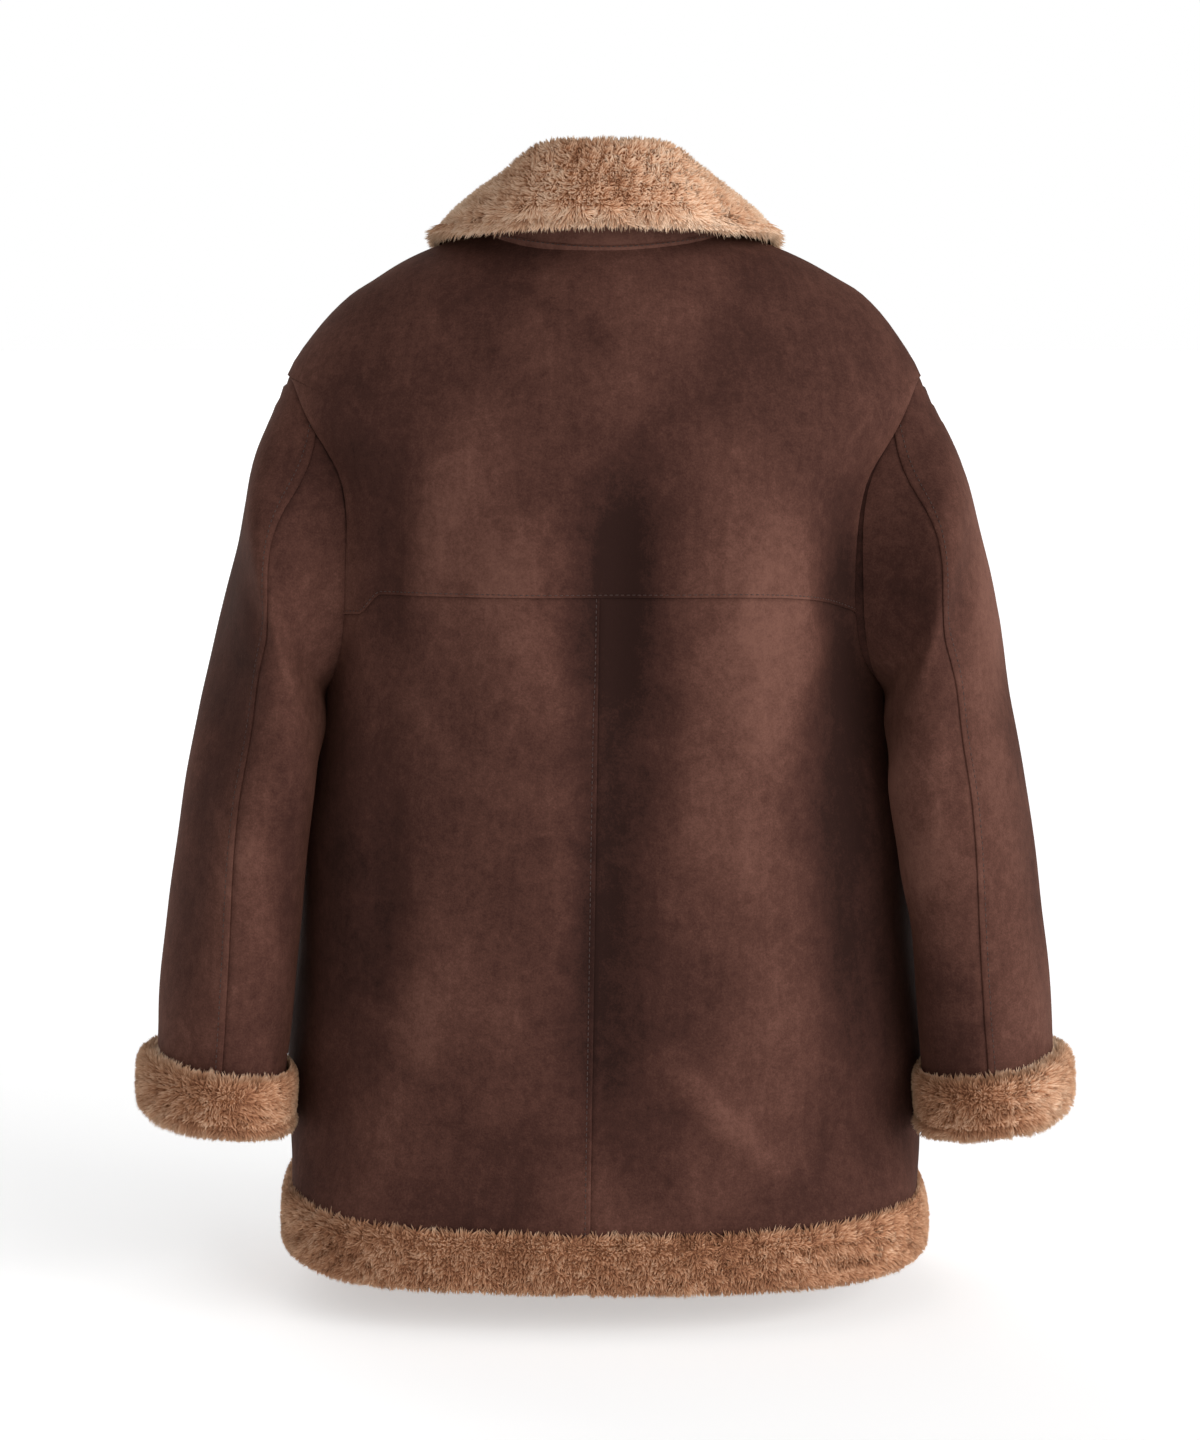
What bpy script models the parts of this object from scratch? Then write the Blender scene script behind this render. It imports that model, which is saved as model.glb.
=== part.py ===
"""A shearling coat as it hangs when worn: hollow, filled out, with nobody in it.

Metres, +Z up. The origin is the middle of the neck opening. The back of the coat faces +Y, its
front faces -Y, and the wearer's left is +X.

The body is one smooth surface of rings, read from TORSO. A point on it is given by an angle
(0 at the centre back, 90 degrees at the wearer's left side, 180 at the centre front) and by its
distance down the centre back from the neck seam. The panels are cut out of that surface along
their seams. Each sleeve grows out of its armhole through the rings of SLEEVE.
"""

import bpy
import numpy as np

# ---------------------------------------------------------------- sizes

WALL = 0.004              # sheepskin: suede with its clipped wool
SEAM = 0.0003             # gap between two pieces along a seam
SUEDE = 0.0015            # thin suede, on the collar
FUR_CUFF = 0.017          # how far the turned-back cuff stands out from the sleeve
CUFF_PRESSED = 0.60       # share of that lost where the cuff lies against the body
FUR_COLLAR = 0.013        # thickness of the collar at its roll
FUR_COLLAR_EDGE = 0.010   # and at the edge of its fall
FUR_HEM_OUT = 0.009       # how far the hem band stands out from the body
FUR_HEM_IN = 0.007        # and into it
HEM_BOTTOM = -0.787       # height of the lower edge
OVERLAP = 0.025           # each front runs this far past the centre line
BUTTON_RADIUS = 0.0125
BUTTON_THICKNESS = 0.0045
BUTTON_HEIGHTS = (-0.205, -0.340, -0.475, -0.610)

# Rings of the body, from the neck to the hem seam.
TORSO_COLUMNS = ("side_z", "back_z", "front_z", "half_width", "side_y", "back_y", "front_y", "square")
TORSO = (
    ("neckline",        0.004, -0.009, -0.095, 0.0920, 0.000, 0.0780, -0.0840, 2.00),
    ("collar_inner",   -0.001, -0.034, -0.118, 0.1150, 0.000, 0.0940, -0.0980, 1.96),
    ("collar_edge",    -0.009, -0.058, -0.138, 0.1390, 0.000, 0.1070, -0.1080, 1.92),
    ("shoulder_inner", -0.019, -0.080, -0.156, 0.1600, 0.000, 0.1170, -0.1150, 1.88),
    ("shoulder_mid",   -0.031, -0.100, -0.172, 0.1790, 0.000, 0.1245, -0.1200, 1.85),
    ("shoulder_outer", -0.043, -0.118, -0.186, 0.1970, 0.000, 0.1300, -0.1235, 1.84),
    ("shoulder_turn",  -0.066, -0.137, -0.200, 0.2195, 0.000, 0.1355, -0.1270, 1.84),
    ("shoulder_tip",   -0.104, -0.160, -0.216, 0.2435, 0.000, 0.1405, -0.1300, 1.86),
    ("shoulder_blade", -0.180, -0.208, -0.243, 0.2190, 0.000, 0.1470, -0.1340, 2.05),
    ("yoke_line",      -0.256, -0.2625, -0.275, 0.2130, -0.002, 0.1515, -0.1375, 2.25),
    ("underarm",       -0.345, -0.345, -0.345, 0.2130, -0.006, 0.1530, -0.1400, 2.30),
    ("below_arm",      -0.375, -0.375, -0.375, 0.2198, -0.010, 0.1533, -0.1405, 2.28),
    ("waist",          -0.430, -0.430, -0.430, 0.2325, -0.018, 0.1540, -0.1415, 2.25),
    ("hip",            -0.500, -0.500, -0.500, 0.2400, -0.026, 0.1550, -0.1435, 2.25),
    ("seat",           -0.600, -0.600, -0.600, 0.2480, -0.033, 0.1560, -0.1460, 2.20),
    ("above_hem",      -0.700, -0.700, -0.700, 0.2485, -0.031, 0.1570, -0.1490, 2.36),
    ("hem_seam",       -0.737, -0.742, -0.742, 0.2460, -0.029, 0.1575, -0.1505, 3.00),
)

# Rings of a sleeve, outside the armhole: its outer edge and its inner edge as seen from behind,
# its depth, and the degrees that its section is turned to lie along the body's side.
SLEEVE_COLUMNS = ("outer_x", "outer_z", "inner_x", "inner_z", "centre_y", "half_depth", "twist", "square")
SLEEVE = (
    ("cap",       0.2665, -0.155, 0.2158, -0.3505, 0.002, 0.098, 0, 2.00),
    ("upper_arm", 0.2905, -0.240, 0.2178, -0.3720, 0.010, 0.094, 7, 2.05),
    ("biceps",    0.3065, -0.310, 0.2220, -0.4100, 0.025, 0.086, 17, 2.10),
    ("elbow",     0.3250, -0.405, 0.2290, -0.4650, 0.033, 0.080, 19, 2.10),
    ("forearm",   0.3370, -0.497, 0.2350, -0.5300, 0.038, 0.076, 20, 2.10),
    ("lower_arm", 0.3460, -0.588, 0.2415, -0.6030, 0.041, 0.071, 19, 2.10),
    ("wrist",     0.3480, -0.638, 0.2470, -0.6490, 0.042, 0.068, 17, 2.10),
    ("end",       0.3480, -0.665, 0.2485, -0.6790, 0.042, 0.066, 16, 2.10),
)

# The collar's middle surface, out and up from the neck seam, at angles from the centre back.
COLLAR_COLUMNS = ("angle", "roll_out", "roll_up", "mid_out", "mid_up", "edge_out", "edge_up")
COLLAR = (
    ("centre_back",  0, 0.008, 0.077, 0.027, 0.049, 0.034, 0.020),
    ("nape_side",   28, 0.006, 0.071, 0.026, 0.044, 0.034, 0.015),
    ("behind_ear",  48, 0.002, 0.049, 0.021, 0.030, 0.034, 0.008),
    ("side",        90, 0.000, 0.024, 0.018, 0.014, 0.038, -0.003),
    ("over_front", 108, 0.001, 0.023, 0.020, 0.009, 0.043, -0.013),
    ("collarbone", 125, 0.003, 0.022, 0.026, -0.003, 0.052, -0.038),
    ("front",      165, 0.006, 0.020, 0.031, -0.017, 0.052, -0.064),
)
COLLAR_BASE = ((-0.0074, 0.0005), (-0.0070, 0.55))    # in from the neck seam; up, then share of the roll
COLLAR_END = 176.0        # the collar stops at this angle on either side
STAND_END = 100.0         # and the suede on its stand at this one

# The largest folds, as soft troughs (below zero) and ridges along a line down the body.
FOLD_COLUMNS = ("face", "top_x", "top_z", "bottom_x", "bottom_z", "half_width", "height")
FOLDS = (
    ("back_hollow",      1, -0.016, -0.090, 0.002, -0.660, 0.036, -0.0100),
    ("left_ridge",       1, 0.066, -0.150, 0.080, -0.520, 0.034, 0.0040),
    ("right_ridge",      1, -0.104, -0.140, -0.112, -0.580, 0.034, 0.0070),
    ("left_valley",      1, 0.158, -0.100, 0.168, -0.600, 0.020, -0.0045),
    ("right_valley",     1, -0.178, -0.110, -0.190, -0.640, 0.024, -0.0060),
    ("hem_flare_left",   1, 0.120, -0.470, 0.150, -0.760, 0.040, 0.0040),
    ("hem_crease_right", 1, -0.020, -0.580, -0.150, -0.720, 0.020, 0.0030),
    ("chest_left",      -1, 0.105, -0.200, 0.120, -0.620, 0.034, 0.0060),
    ("chest_right",     -1, -0.100, -0.190, -0.115, -0.560, 0.036, 0.0050),
    ("front_left_dip",  -1, 0.160, -0.260, 0.175, -0.640, 0.022, -0.0050),
    ("front_right_dip", -1, -0.155, -0.240, -0.180, -0.680, 0.022, -0.0055),
)

FOLD_FADE = 0.3           # share of a fold's length over which it fades at either end
FOLD_SIDE = 0.06          # folds of one face are gone this far from it, at the sides

ARMHOLE_BACK = 27.0       # degrees that the armhole is cut in from the side, at the back
ARMHOLE_FRONT = 31.0      # and at the front
ARMHOLE_ROUND = (0.5, 0.8)          # how full its curve is, above and below its middle

# Turn of the two seams round a sleeve, at shares of its length.
SLEEVE_SEAM_COLUMNS = ("along", "back_turn", "under_turn")
SLEEVE_SEAMS = (
    ("armhole", 0.00, 41, 232),
    ("head",    0.05, 61, 233),
    ("cap",     0.11, 82, 233),
    ("upper",   0.19, 70, 234),
    ("biceps",  0.28, 54, 235),
    ("elbow",   0.50, 58, 236),
    ("lower",   0.75, 67, 237),
    ("cuff",    1.00, 75, 238),
)
YOKE_DROP_LEFT = 0.008    # the yoke seam drops this much to the armhole on the left
YOKE_JOG = 0.0135         # with a jog of this height
YOKE_JOG_FROM = 0.80      # that starts at this share of the way across
YOKE_JOG_WIDTH = 0.10     # and takes up this share
YOKE_DROP_RIGHT = 0.021
CENTRE_SEAM_X = (0.004, 0.011)      # the centre back seam leans a little to the left going down

# ---------------------------------------------------------------- curves


def named(names, row):
    """A table's row by its columns' names, without the row's own name."""
    return dict(zip(names, row[1:]))


def column(table, names, name):
    """One named column of a table."""
    return np.array([named(names, row)[name] for row in table])


def smooth_through(stations, values, at):
    """A smooth curve through values at rising stations. Values may be arrays in their own right."""
    stations = np.asarray(stations, float)
    values = np.asarray(values, float)
    at = np.clip(np.asarray(at, float), stations[0], stations[-1])
    steps = np.diff(stations)
    shape = (-1,) + (1,) * (values.ndim - 1)
    slopes = np.diff(values, axis=0) / steps.reshape(shape)
    inner = slopes[:-1] * steps[1:].reshape(shape) + slopes[1:] * steps[:-1].reshape(shape)
    inner = inner / (steps[1:] + steps[:-1]).reshape(shape)
    tangents = np.concatenate([slopes[:1], inner, slopes[-1:]])
    k = np.clip(np.searchsorted(stations, at, side="right") - 1, 0, len(steps) - 1)
    length = steps[k]
    f = (at - stations[k]) / length
    if values.ndim > 1:
        extra = (1,) * (values.ndim - 1)
        f = f.reshape(f.shape + extra) if f.ndim < values.ndim else f[..., None]
        length = length.reshape(f.shape)
    h00 = (1 + 2 * f) * (1 - f) ** 2
    h10 = f * (1 - f) ** 2
    h01 = f * f * (3 - 2 * f)
    h11 = f * f * (f - 1)
    return (h00 * values[k] + h10 * length * tangents[k]
            + h01 * values[k + 1] + h11 * length * tangents[k + 1])


def ease(x):
    """0 below 0, 1 above 1, smooth between."""
    x = np.clip(x, 0.0, 1.0)
    return x * x * (3 - 2 * x)


def unit(v):
    return v / np.maximum(np.linalg.norm(v, axis=-1, keepdims=True), 1e-12)


def superellipse(angle, square):
    """A rounded outline of half width 1 both ways; square is 2 for a circle."""
    c = np.cos(angle)
    s = np.sin(angle)
    size = (np.abs(c) ** square + np.abs(s) ** square) ** (1 / square)
    return c / size, s / size


# ---------------------------------------------------------------- the body's surface

back_z = column(TORSO, TORSO_COLUMNS, "back_z")
back_y = column(TORSO, TORSO_COLUMNS, "back_y")
STATIONS = np.concatenate([[0.0], np.cumsum(np.hypot(np.diff(back_z), np.diff(back_y)))])
ROW_NAMES = [row[0] for row in TORSO]
TIP = STATIONS[ROW_NAMES.index("shoulder_tip")]
YOKE = STATIONS[ROW_NAMES.index("yoke_line")]
UNDERARM = STATIONS[ROW_NAMES.index("underarm")]
HEM = STATIONS[-1]
ARMHOLE_MIDDLE = (TIP + UNDERARM) / 2
ARMHOLE_HALF = (UNDERARM - TIP) / 2


def torso_value(name, down):
    return smooth_through(STATIONS, column(TORSO, TORSO_COLUMNS, name), down)


def body_form(angle, down):
    """A point of the plain body form, before its folds."""
    y, x = superellipse(angle, torso_value("square", down))
    side_z = torso_value("side_z", down)
    side_y = torso_value("side_y", down)
    behind = y >= 0
    middle_y = np.where(behind, torso_value("back_y", down), torso_value("front_y", down))
    middle_z = np.where(behind, torso_value("back_z", down), torso_value("front_z", down))
    z = side_z + (middle_z - side_z) * np.cos(angle) ** 2
    y = side_y + (middle_y - side_y) * np.abs(y)
    return np.stack([x * torso_value("half_width", down), y, z], axis=-1)


def body_normal(angle, down):
    """Outward direction of the plain body form."""
    step = 1e-4
    near = np.maximum(down - step, 0.0)
    around = body_form(angle + step, down) - body_form(angle - step, down)
    along = body_form(angle, near + 2 * step) - body_form(angle, near)
    return unit(np.cross(around, along))


def fold_height(points):
    """How far the folds raise or lower the cloth at these points."""
    x, y, z = points[..., 0], points[..., 1], points[..., 2]
    total = np.zeros(x.shape)
    for row in FOLDS:
        fold = named(FOLD_COLUMNS, row)
        along = (fold["top_z"] - z) / (fold["top_z"] - fold["bottom_z"])
        line = fold["top_x"] + (fold["bottom_x"] - fold["top_x"]) * along
        across = np.exp(-((x - line) / fold["half_width"]) ** 2)
        ends = ease(along / FOLD_FADE) * ease((1 - along) / FOLD_FADE)
        total += fold["height"] * across * ends * ease(y * fold["face"] / FOLD_SIDE)
    return total


def body(angle, down, out=0.0):
    """A point of the coat's outer face, moved out by `out`."""
    form = body_form(angle, down)
    raised = fold_height(form) + out
    return form + body_normal(angle, down) * np.asarray(raised)[..., None]


# ---------------------------------------------------------------- seams on the body


def armhole(turn):
    """Angle and distance down of the armhole; turn is 0 at the shoulder, 90 at the back."""
    cut = np.where(np.sin(turn) >= 0, -np.radians(ARMHOLE_BACK), np.radians(ARMHOLE_FRONT))
    power = np.where(np.cos(turn) > 0, *ARMHOLE_ROUND)
    angle = np.pi / 2 + cut * np.abs(np.sin(turn)) ** power
    down = ARMHOLE_MIDDLE - ARMHOLE_HALF * np.cos(turn)
    return angle, down


def edge_turn(down):
    """The armhole's turn at a distance down, on the back half."""
    return np.arccos(np.clip((ARMHOLE_MIDDLE - down) / ARMHOLE_HALF, -1, 1))


def back_edge(down):
    """Angle at which a back panel ends: shoulder seam, armhole or side seam."""
    return armhole(edge_turn(down))[0]


def front_edge(down):
    return armhole(-edge_turn(down))[0]


def yoke_drop(across, side):
    """How far the yoke seam drops towards the armhole, with a small jog on the left."""
    if side > 0:
        return YOKE_DROP_LEFT * across ** 2 + YOKE_JOG * ease((across - YOKE_JOG_FROM) / YOKE_JOG_WIDTH)
    return YOKE_DROP_RIGHT * across ** 3


def drop_share(down):
    """The yoke seam's drop fades out up to the shoulder tip and down to the underarm."""
    above = ease((down - TIP) / (YOKE - TIP))
    below = ease((UNDERARM - down) / (UNDERARM - YOKE))
    return np.where(down < YOKE, above, below)


def lowered(row, across, side):
    """Distance down of a row of the back, at a share of the way across to its edge."""
    return row + yoke_drop(across, side) * drop_share(row)


def centre_seam(down):
    """Angle of the centre back seam."""
    share = np.clip((down - YOKE) / (HEM - YOKE), 0, 1)
    x = CENTRE_SEAM_X[0] + (CENTRE_SEAM_X[1] - CENTRE_SEAM_X[0]) * share
    return np.arcsin(x / torso_value("half_width", down))


def front_angle(x, down):
    """Angle at which the front lies at x, counted on the wearer's left."""
    return np.pi - np.arcsin(np.clip(x / torso_value("half_width", down), -1, 1))


# Rows of the panels. Two panels that meet share their rows, so that their edges match.
NECK_ROWS = np.linspace(0, TIP, 8)
YOKE_TURN = edge_turn(YOKE)
UPPER_TURNS = YOKE_TURN * np.linspace(0, 1, 9) ** 1.3
ARMHOLE_TURNS = np.concatenate([UPPER_TURNS, np.linspace(YOKE_TURN, np.pi, 6)[1:]])
ARMHOLE_ROWS = ARMHOLE_MIDDLE - ARMHOLE_HALF * np.cos(ARMHOLE_TURNS)
LOWER_ROWS = np.linspace(UNDERARM, HEM, 8)
YOKE_ROWS = np.concatenate([NECK_ROWS[:-1], ARMHOLE_ROWS[:9]])
BACK_ROWS = np.concatenate([ARMHOLE_ROWS[8:], LOWER_ROWS[1:]])
FRONT_ROWS = np.concatenate([NECK_ROWS[:-1], ARMHOLE_ROWS, LOWER_ROWS[1:]])
HALF_COLUMNS = 10

# ---------------------------------------------------------------- the sleeve's surface


def sleeve_rings(turn):
    """The armhole and each ring of SLEEVE at these turns, on the wearer's left."""
    rings = [body(*armhole(turn))]
    for row in SLEEVE:
        ring = named(SLEEVE_COLUMNS, row)
        c, s = superellipse(turn, ring["square"])
        lean = np.radians(ring["twist"])
        depth = ring["half_depth"]
        seen = (ring["outer_x"] - ring["inner_x"]) / 2
        half_width = np.sqrt(seen ** 2 - (depth * np.sin(lean)) ** 2) / np.cos(lean)
        across = half_width * c * np.cos(lean) - depth * s * np.sin(lean)
        y = ring["centre_y"] + half_width * c * np.sin(lean) + depth * s * np.cos(lean)
        x = (ring["outer_x"] + ring["inner_x"]) / 2 + across
        tilt = (ring["outer_z"] - ring["inner_z"]) / 2
        z = (ring["outer_z"] + ring["inner_z"]) / 2 + tilt * across / seen
        rings.append(np.stack([x, y, z], axis=-1))
    return np.array(rings)


def sleeve_stations():
    """Share of the sleeve's length at which each ring lies, from 0 at the armhole."""
    outer = sleeve_rings(np.array([0.0, np.pi / 2, np.pi, -np.pi / 2])).mean(axis=1)
    steps = np.linalg.norm(np.diff(outer, axis=0), axis=-1)
    total = np.concatenate([[0.0], np.cumsum(steps)])
    return total / total[-1]


SLEEVE_STATIONS = sleeve_stations()


def sleeve(turn, along):
    """A point of the sleeve's outer face; along is one number, 0 at the armhole and 1 at the end."""
    return smooth_through(SLEEVE_STATIONS, sleeve_rings(turn), np.array([along]))[0]


def sleeve_normal(turn, along):
    step = 1e-3
    near = min(max(along - step, 0.0), 1 - 2 * step)
    around = sleeve(turn + step, along) - sleeve(turn - step, along)
    down = sleeve(turn, near + 2 * step) - sleeve(turn, near)
    return unit(np.cross(down, around))


SLEEVE_HEAD = 0.02        # share of the sleeve's length where its direction at the seam is taken
SHARPEST_MITRE = 0.60     # keeps the mitred edge from growing too long at the underarm


def armhole_wall(turn):
    """The way the wall's edge runs in at the armhole, midway between body and sleeve."""
    body_in = -body_normal(*armhole(turn))
    sleeve_in = -sleeve_normal(turn, SLEEVE_HEAD)
    mean = unit(body_in + sleeve_in)
    share = np.maximum((mean * body_in).sum(-1), SHARPEST_MITRE)
    return mean * (WALL / share)[..., None]


# ---------------------------------------------------------------- solids from grids


def add_object(name, points, faces, colour, roughness):
    mesh = bpy.data.meshes.new(name)
    mesh.from_pydata([tuple(p) for p in points], [], faces)
    mesh.validate()
    volume = 0.0
    for face in faces:
        corners = [np.asarray(points[i]) for i in face]
        for i in range(1, len(corners) - 1):
            volume += np.dot(corners[0], np.cross(corners[i], corners[i + 1]))
    if volume < 0:
        mesh.flip_normals()
    mesh.shade_smooth()
    mesh.set_sharp_from_angle(angle=np.radians(50))
    material = bpy.data.materials.new(name)
    material.use_nodes = True
    shader = material.node_tree.nodes["Principled BSDF"]
    shader.inputs["Base Color"].default_value = (*colour, 1.0)
    shader.inputs["Roughness"].default_value = roughness
    shader.inputs["Metallic"].default_value = 0.0
    mesh.materials.append(material)
    thing = bpy.data.objects.new(name, mesh)
    bpy.context.scene.collection.objects.link(thing)
    return thing


SUEDE_BROWN = ((0.089, 0.037, 0.026), 0.92)
WOOL_TAN = ((0.445, 0.254, 0.133), 0.95)
HORN_BROWN = ((0.060, 0.030, 0.018), 0.35)


def pull_in(grid, edges):
    """Move the named edges of a grid half a seam gap towards its middle."""
    grid = grid.copy()
    half = SEAM / 2
    if "top" in edges:
        grid[0] += unit(grid[1] - grid[0]) * half
    if "bottom" in edges:
        grid[-1] += unit(grid[-2] - grid[-1]) * half
    if "start" in edges:
        grid[:, 0] += unit(grid[:, 1] - grid[:, 0]) * half
    if "end" in edges:
        grid[:, -1] += unit(grid[:, -2] - grid[:, -1]) * half
    return grid


ALL_EDGES = ("top", "bottom", "start", "end")

# The faces along a seam are split by the same rule on both of its sides, so that they match.
DIAGONAL_LEAN = np.array([0.37, 0.21, 1.0])


def shell(name, outer, inner, finish, edges=ALL_EDGES):
    """A wall between two grids of points of the same size, closed round its four edges."""
    outer = pull_in(outer, edges)
    inner = pull_in(inner, edges)
    rows, columns = outer.shape[:2]
    points = np.concatenate([outer.reshape(-1, 3), inner.reshape(-1, 3)])
    count = rows * columns
    faces = []
    for i in range(rows - 1):
        for j in range(columns - 1):
            a = i * columns + j
            faces.append((a, a + 1, a + columns + 1, a + columns))
            faces.append((count + a, count + a + columns, count + a + columns + 1, count + a + 1))
    rim = list(range(columns))
    rim += [i * columns + columns - 1 for i in range(1, rows)]
    rim += [(rows - 1) * columns + j for j in range(columns - 2, -1, -1)]
    rim += [i * columns for i in range(rows - 2, 0, -1)]
    mirrored = np.concatenate([np.abs(points[:count, :1]), points[:count, 1:]], axis=1)
    lean = mirrored @ DIAGONAL_LEAN
    for a, b in zip(rim, rim[1:] + rim[:1]):
        if lean[a] > lean[b]:
            faces += [(a, a + count, b + count), (a, b + count, b)]
        else:
            faces += [(a, a + count, b), (b, a + count, b + count)]
    return add_object(name, points, faces, *finish)


def swept(name, sections, finish, closed):
    """A bar of closed sections one after another; closed joins the last to the first."""
    count, around = sections.shape[:2]
    faces = []
    for i in range(count if closed else count - 1):
        k = (i + 1) % count
        for j in range(around):
            m = (j + 1) % around
            faces.append((i * around + j, i * around + m, k * around + m, k * around + j))
    if not closed:
        faces.append(tuple(range(around))[::-1])
        faces.append(tuple((count - 1) * around + j for j in range(around)))
    return add_object(name, sections.reshape(-1, 3), faces, *finish)


# ---------------------------------------------------------------- body panels


def back_grid(rows, shares, side):
    """Angles and distances down for rows of the back; shares run from 0 to 1 at the edge."""
    row, share = np.meshgrid(rows, shares, indexing="ij")
    down = lowered(row, share, side)
    return side * share * back_edge(down), down


def wall_grids(angle, down, armhole_columns=()):
    """Outer and inner points of a panel; at the armhole the wall runs in midway to the sleeve."""
    side = np.sign(angle)
    side[side == 0] = 1
    outer = body(angle, down)
    inner = outer - body_normal(angle, down) * WALL
    for place, front in armhole_columns:
        rows = (down[:, place] > TIP - 1e-6) & (down[:, place] < UNDERARM + 1e-6)
        turn = edge_turn(down[rows, place]) * (-1 if front else 1)
        slant = armhole_wall(turn)
        slant[:, 0] *= side[rows, place]
        inner[rows, place] = outer[rows, place] + slant
    return outer, inner


def make_yoke():
    seam = centre_seam(YOKE) / back_edge(YOKE)
    left_shares = np.linspace(seam, 1, HALF_COLUMNS + 1)
    right_shares = np.linspace(0, 1, HALF_COLUMNS + 1)
    right_shares = -seam + (1 + seam) * right_shares
    left = back_grid(YOKE_ROWS, left_shares, 1)
    right = back_grid(YOKE_ROWS, right_shares[::-1], -1)
    angle = np.concatenate([right[0][:, :-1], left[0]], axis=1)
    down = np.concatenate([right[1][:, :-1], left[1]], axis=1)
    outer, inner = wall_grids(angle, down, ((0, False), (-1, False)))
    return shell("back_yoke", outer, inner, SUEDE_BROWN)


def make_back(side):
    row = BACK_ROWS[:, None]
    seam = side * centre_seam(BACK_ROWS) / back_edge(BACK_ROWS)
    share = np.linspace(0, 1, HALF_COLUMNS + 1)[None, :]
    share = seam[:, None] + (1 - seam[:, None]) * share
    down = lowered(row, share, side)
    angle = side * share * back_edge(down)
    outer, inner = wall_grids(angle, down, ((-1, False),))
    return shell("back_left" if side > 0 else "back_right", outer, inner, SUEDE_BROWN)


RAMP_X = (0.062, 0.048, 0.034, 0.018, 0.0, -OVERLAP / 2, -OVERLAP)


def front_grid():
    """Angles and distances down of a front, from its side edge to just past the centre."""
    edge = front_edge(FRONT_ROWS)
    marks = [front_angle(x, FRONT_ROWS) for x in RAMP_X]
    start = np.linspace(0, 1, 9)[None, :] * (marks[0] - edge)[:, None] + edge[:, None]
    angle = np.concatenate([start] + [m[:, None] for m in marks[1:]], axis=1)
    down = np.repeat(FRONT_ROWS[:, None], angle.shape[1], axis=1)
    return angle, down


def make_front(side):
    """A front. The left one rises over the right one near the centre."""
    angle, down = front_grid()
    outer, inner = wall_grids(side * angle, down, ((0, True),))
    if side > 0:
        rise = np.zeros(angle.shape[1])
        rise[RAMP_X.index(0.034) - len(RAMP_X):] = WALL + 2 * SEAM
        rise[RAMP_X.index(0.048) - len(RAMP_X)] = (WALL + 2 * SEAM) / 2
        lift = body_normal(side * angle, down) * rise[None, :, None]
        outer = outer + lift
        inner = inner + lift
    return shell("front_left" if side > 0 else "front_right", outer, inner, SUEDE_BROWN)


# ---------------------------------------------------------------- sleeves and cuffs


def armhole_ring(side):
    """Turns of the points round an armhole that the body's edges share with the sleeve."""
    behind = edge_turn(lowered(ARMHOLE_ROWS, np.ones(len(ARMHOLE_ROWS)), side))
    ahead = 2 * np.pi - ARMHOLE_TURNS
    return np.concatenate([behind, ahead[-2:0:-1]])


def seam_places(side):
    """Which points of the ring the back seam and the under seam start from."""
    ring = armhole_ring(side)
    start = np.radians(SLEEVE_SEAMS[0][2:])
    back, under = [int(np.argmin(np.abs(ring - turn))) for turn in start]
    return ring, back, under


CUFF_SHARE = 0.910        # the cuff's top, as a share of the sleeve's length
SLEEVE_ROWS = (0, 0.02, 0.05, 0.10, 0.16, 0.24, 0.33, 0.43, 0.53, 0.63, 0.73, 0.82, CUFF_SHARE,
               (1 + CUFF_SHARE) / 2, 1.0)


def sleeve_turns(side):
    """Turn of each column at each row, for the under sleeve and the upper sleeve."""
    ring, back, under = seam_places(side)
    full = 2 * np.pi
    start_under = ring[back:under + 1]
    start_upper = np.concatenate([ring[under:], ring[:back + 1] + full])
    stations = column(SLEEVE_SEAMS, SLEEVE_SEAM_COLUMNS, "along")
    seams = []
    for name, start in (("back_turn", ring[back]), ("under_turn", ring[under])):
        turns = np.radians(column(SLEEVE_SEAMS, SLEEVE_SEAM_COLUMNS, name))
        turns[0] = start
        seams.append(smooth_through(stations, turns, np.array(SLEEVE_ROWS))[:, None])
    back_seam, under_seam = seams

    def spread(start, first, last):
        share = (start - start[0]) / (start[-1] - start[0])
        return first + (last - first) * share

    return (spread(start_under, back_seam, under_seam),
            spread(start_upper, under_seam, back_seam + full))


def sleeve_grids(turns, side):
    outer = np.array([sleeve(turn, along) for turn, along in zip(turns, SLEEVE_ROWS)])
    normals = np.array([sleeve_normal(turn, along) for turn, along in zip(turns, SLEEVE_ROWS)])
    inner = outer - normals * WALL
    inner[0] = outer[0] + armhole_wall(turns[0])
    mirror = np.array([side, 1, 1])
    return outer * mirror, inner * mirror


def make_sleeve(side):
    word = "left" if side > 0 else "right"
    under, upper = sleeve_turns(side)
    for name, turns in (("upper", upper), ("under", under)):
        outer, inner = sleeve_grids(turns, side)
        shell(f"sleeve_{word}_{name}", outer, inner, SUEDE_BROWN)


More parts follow.
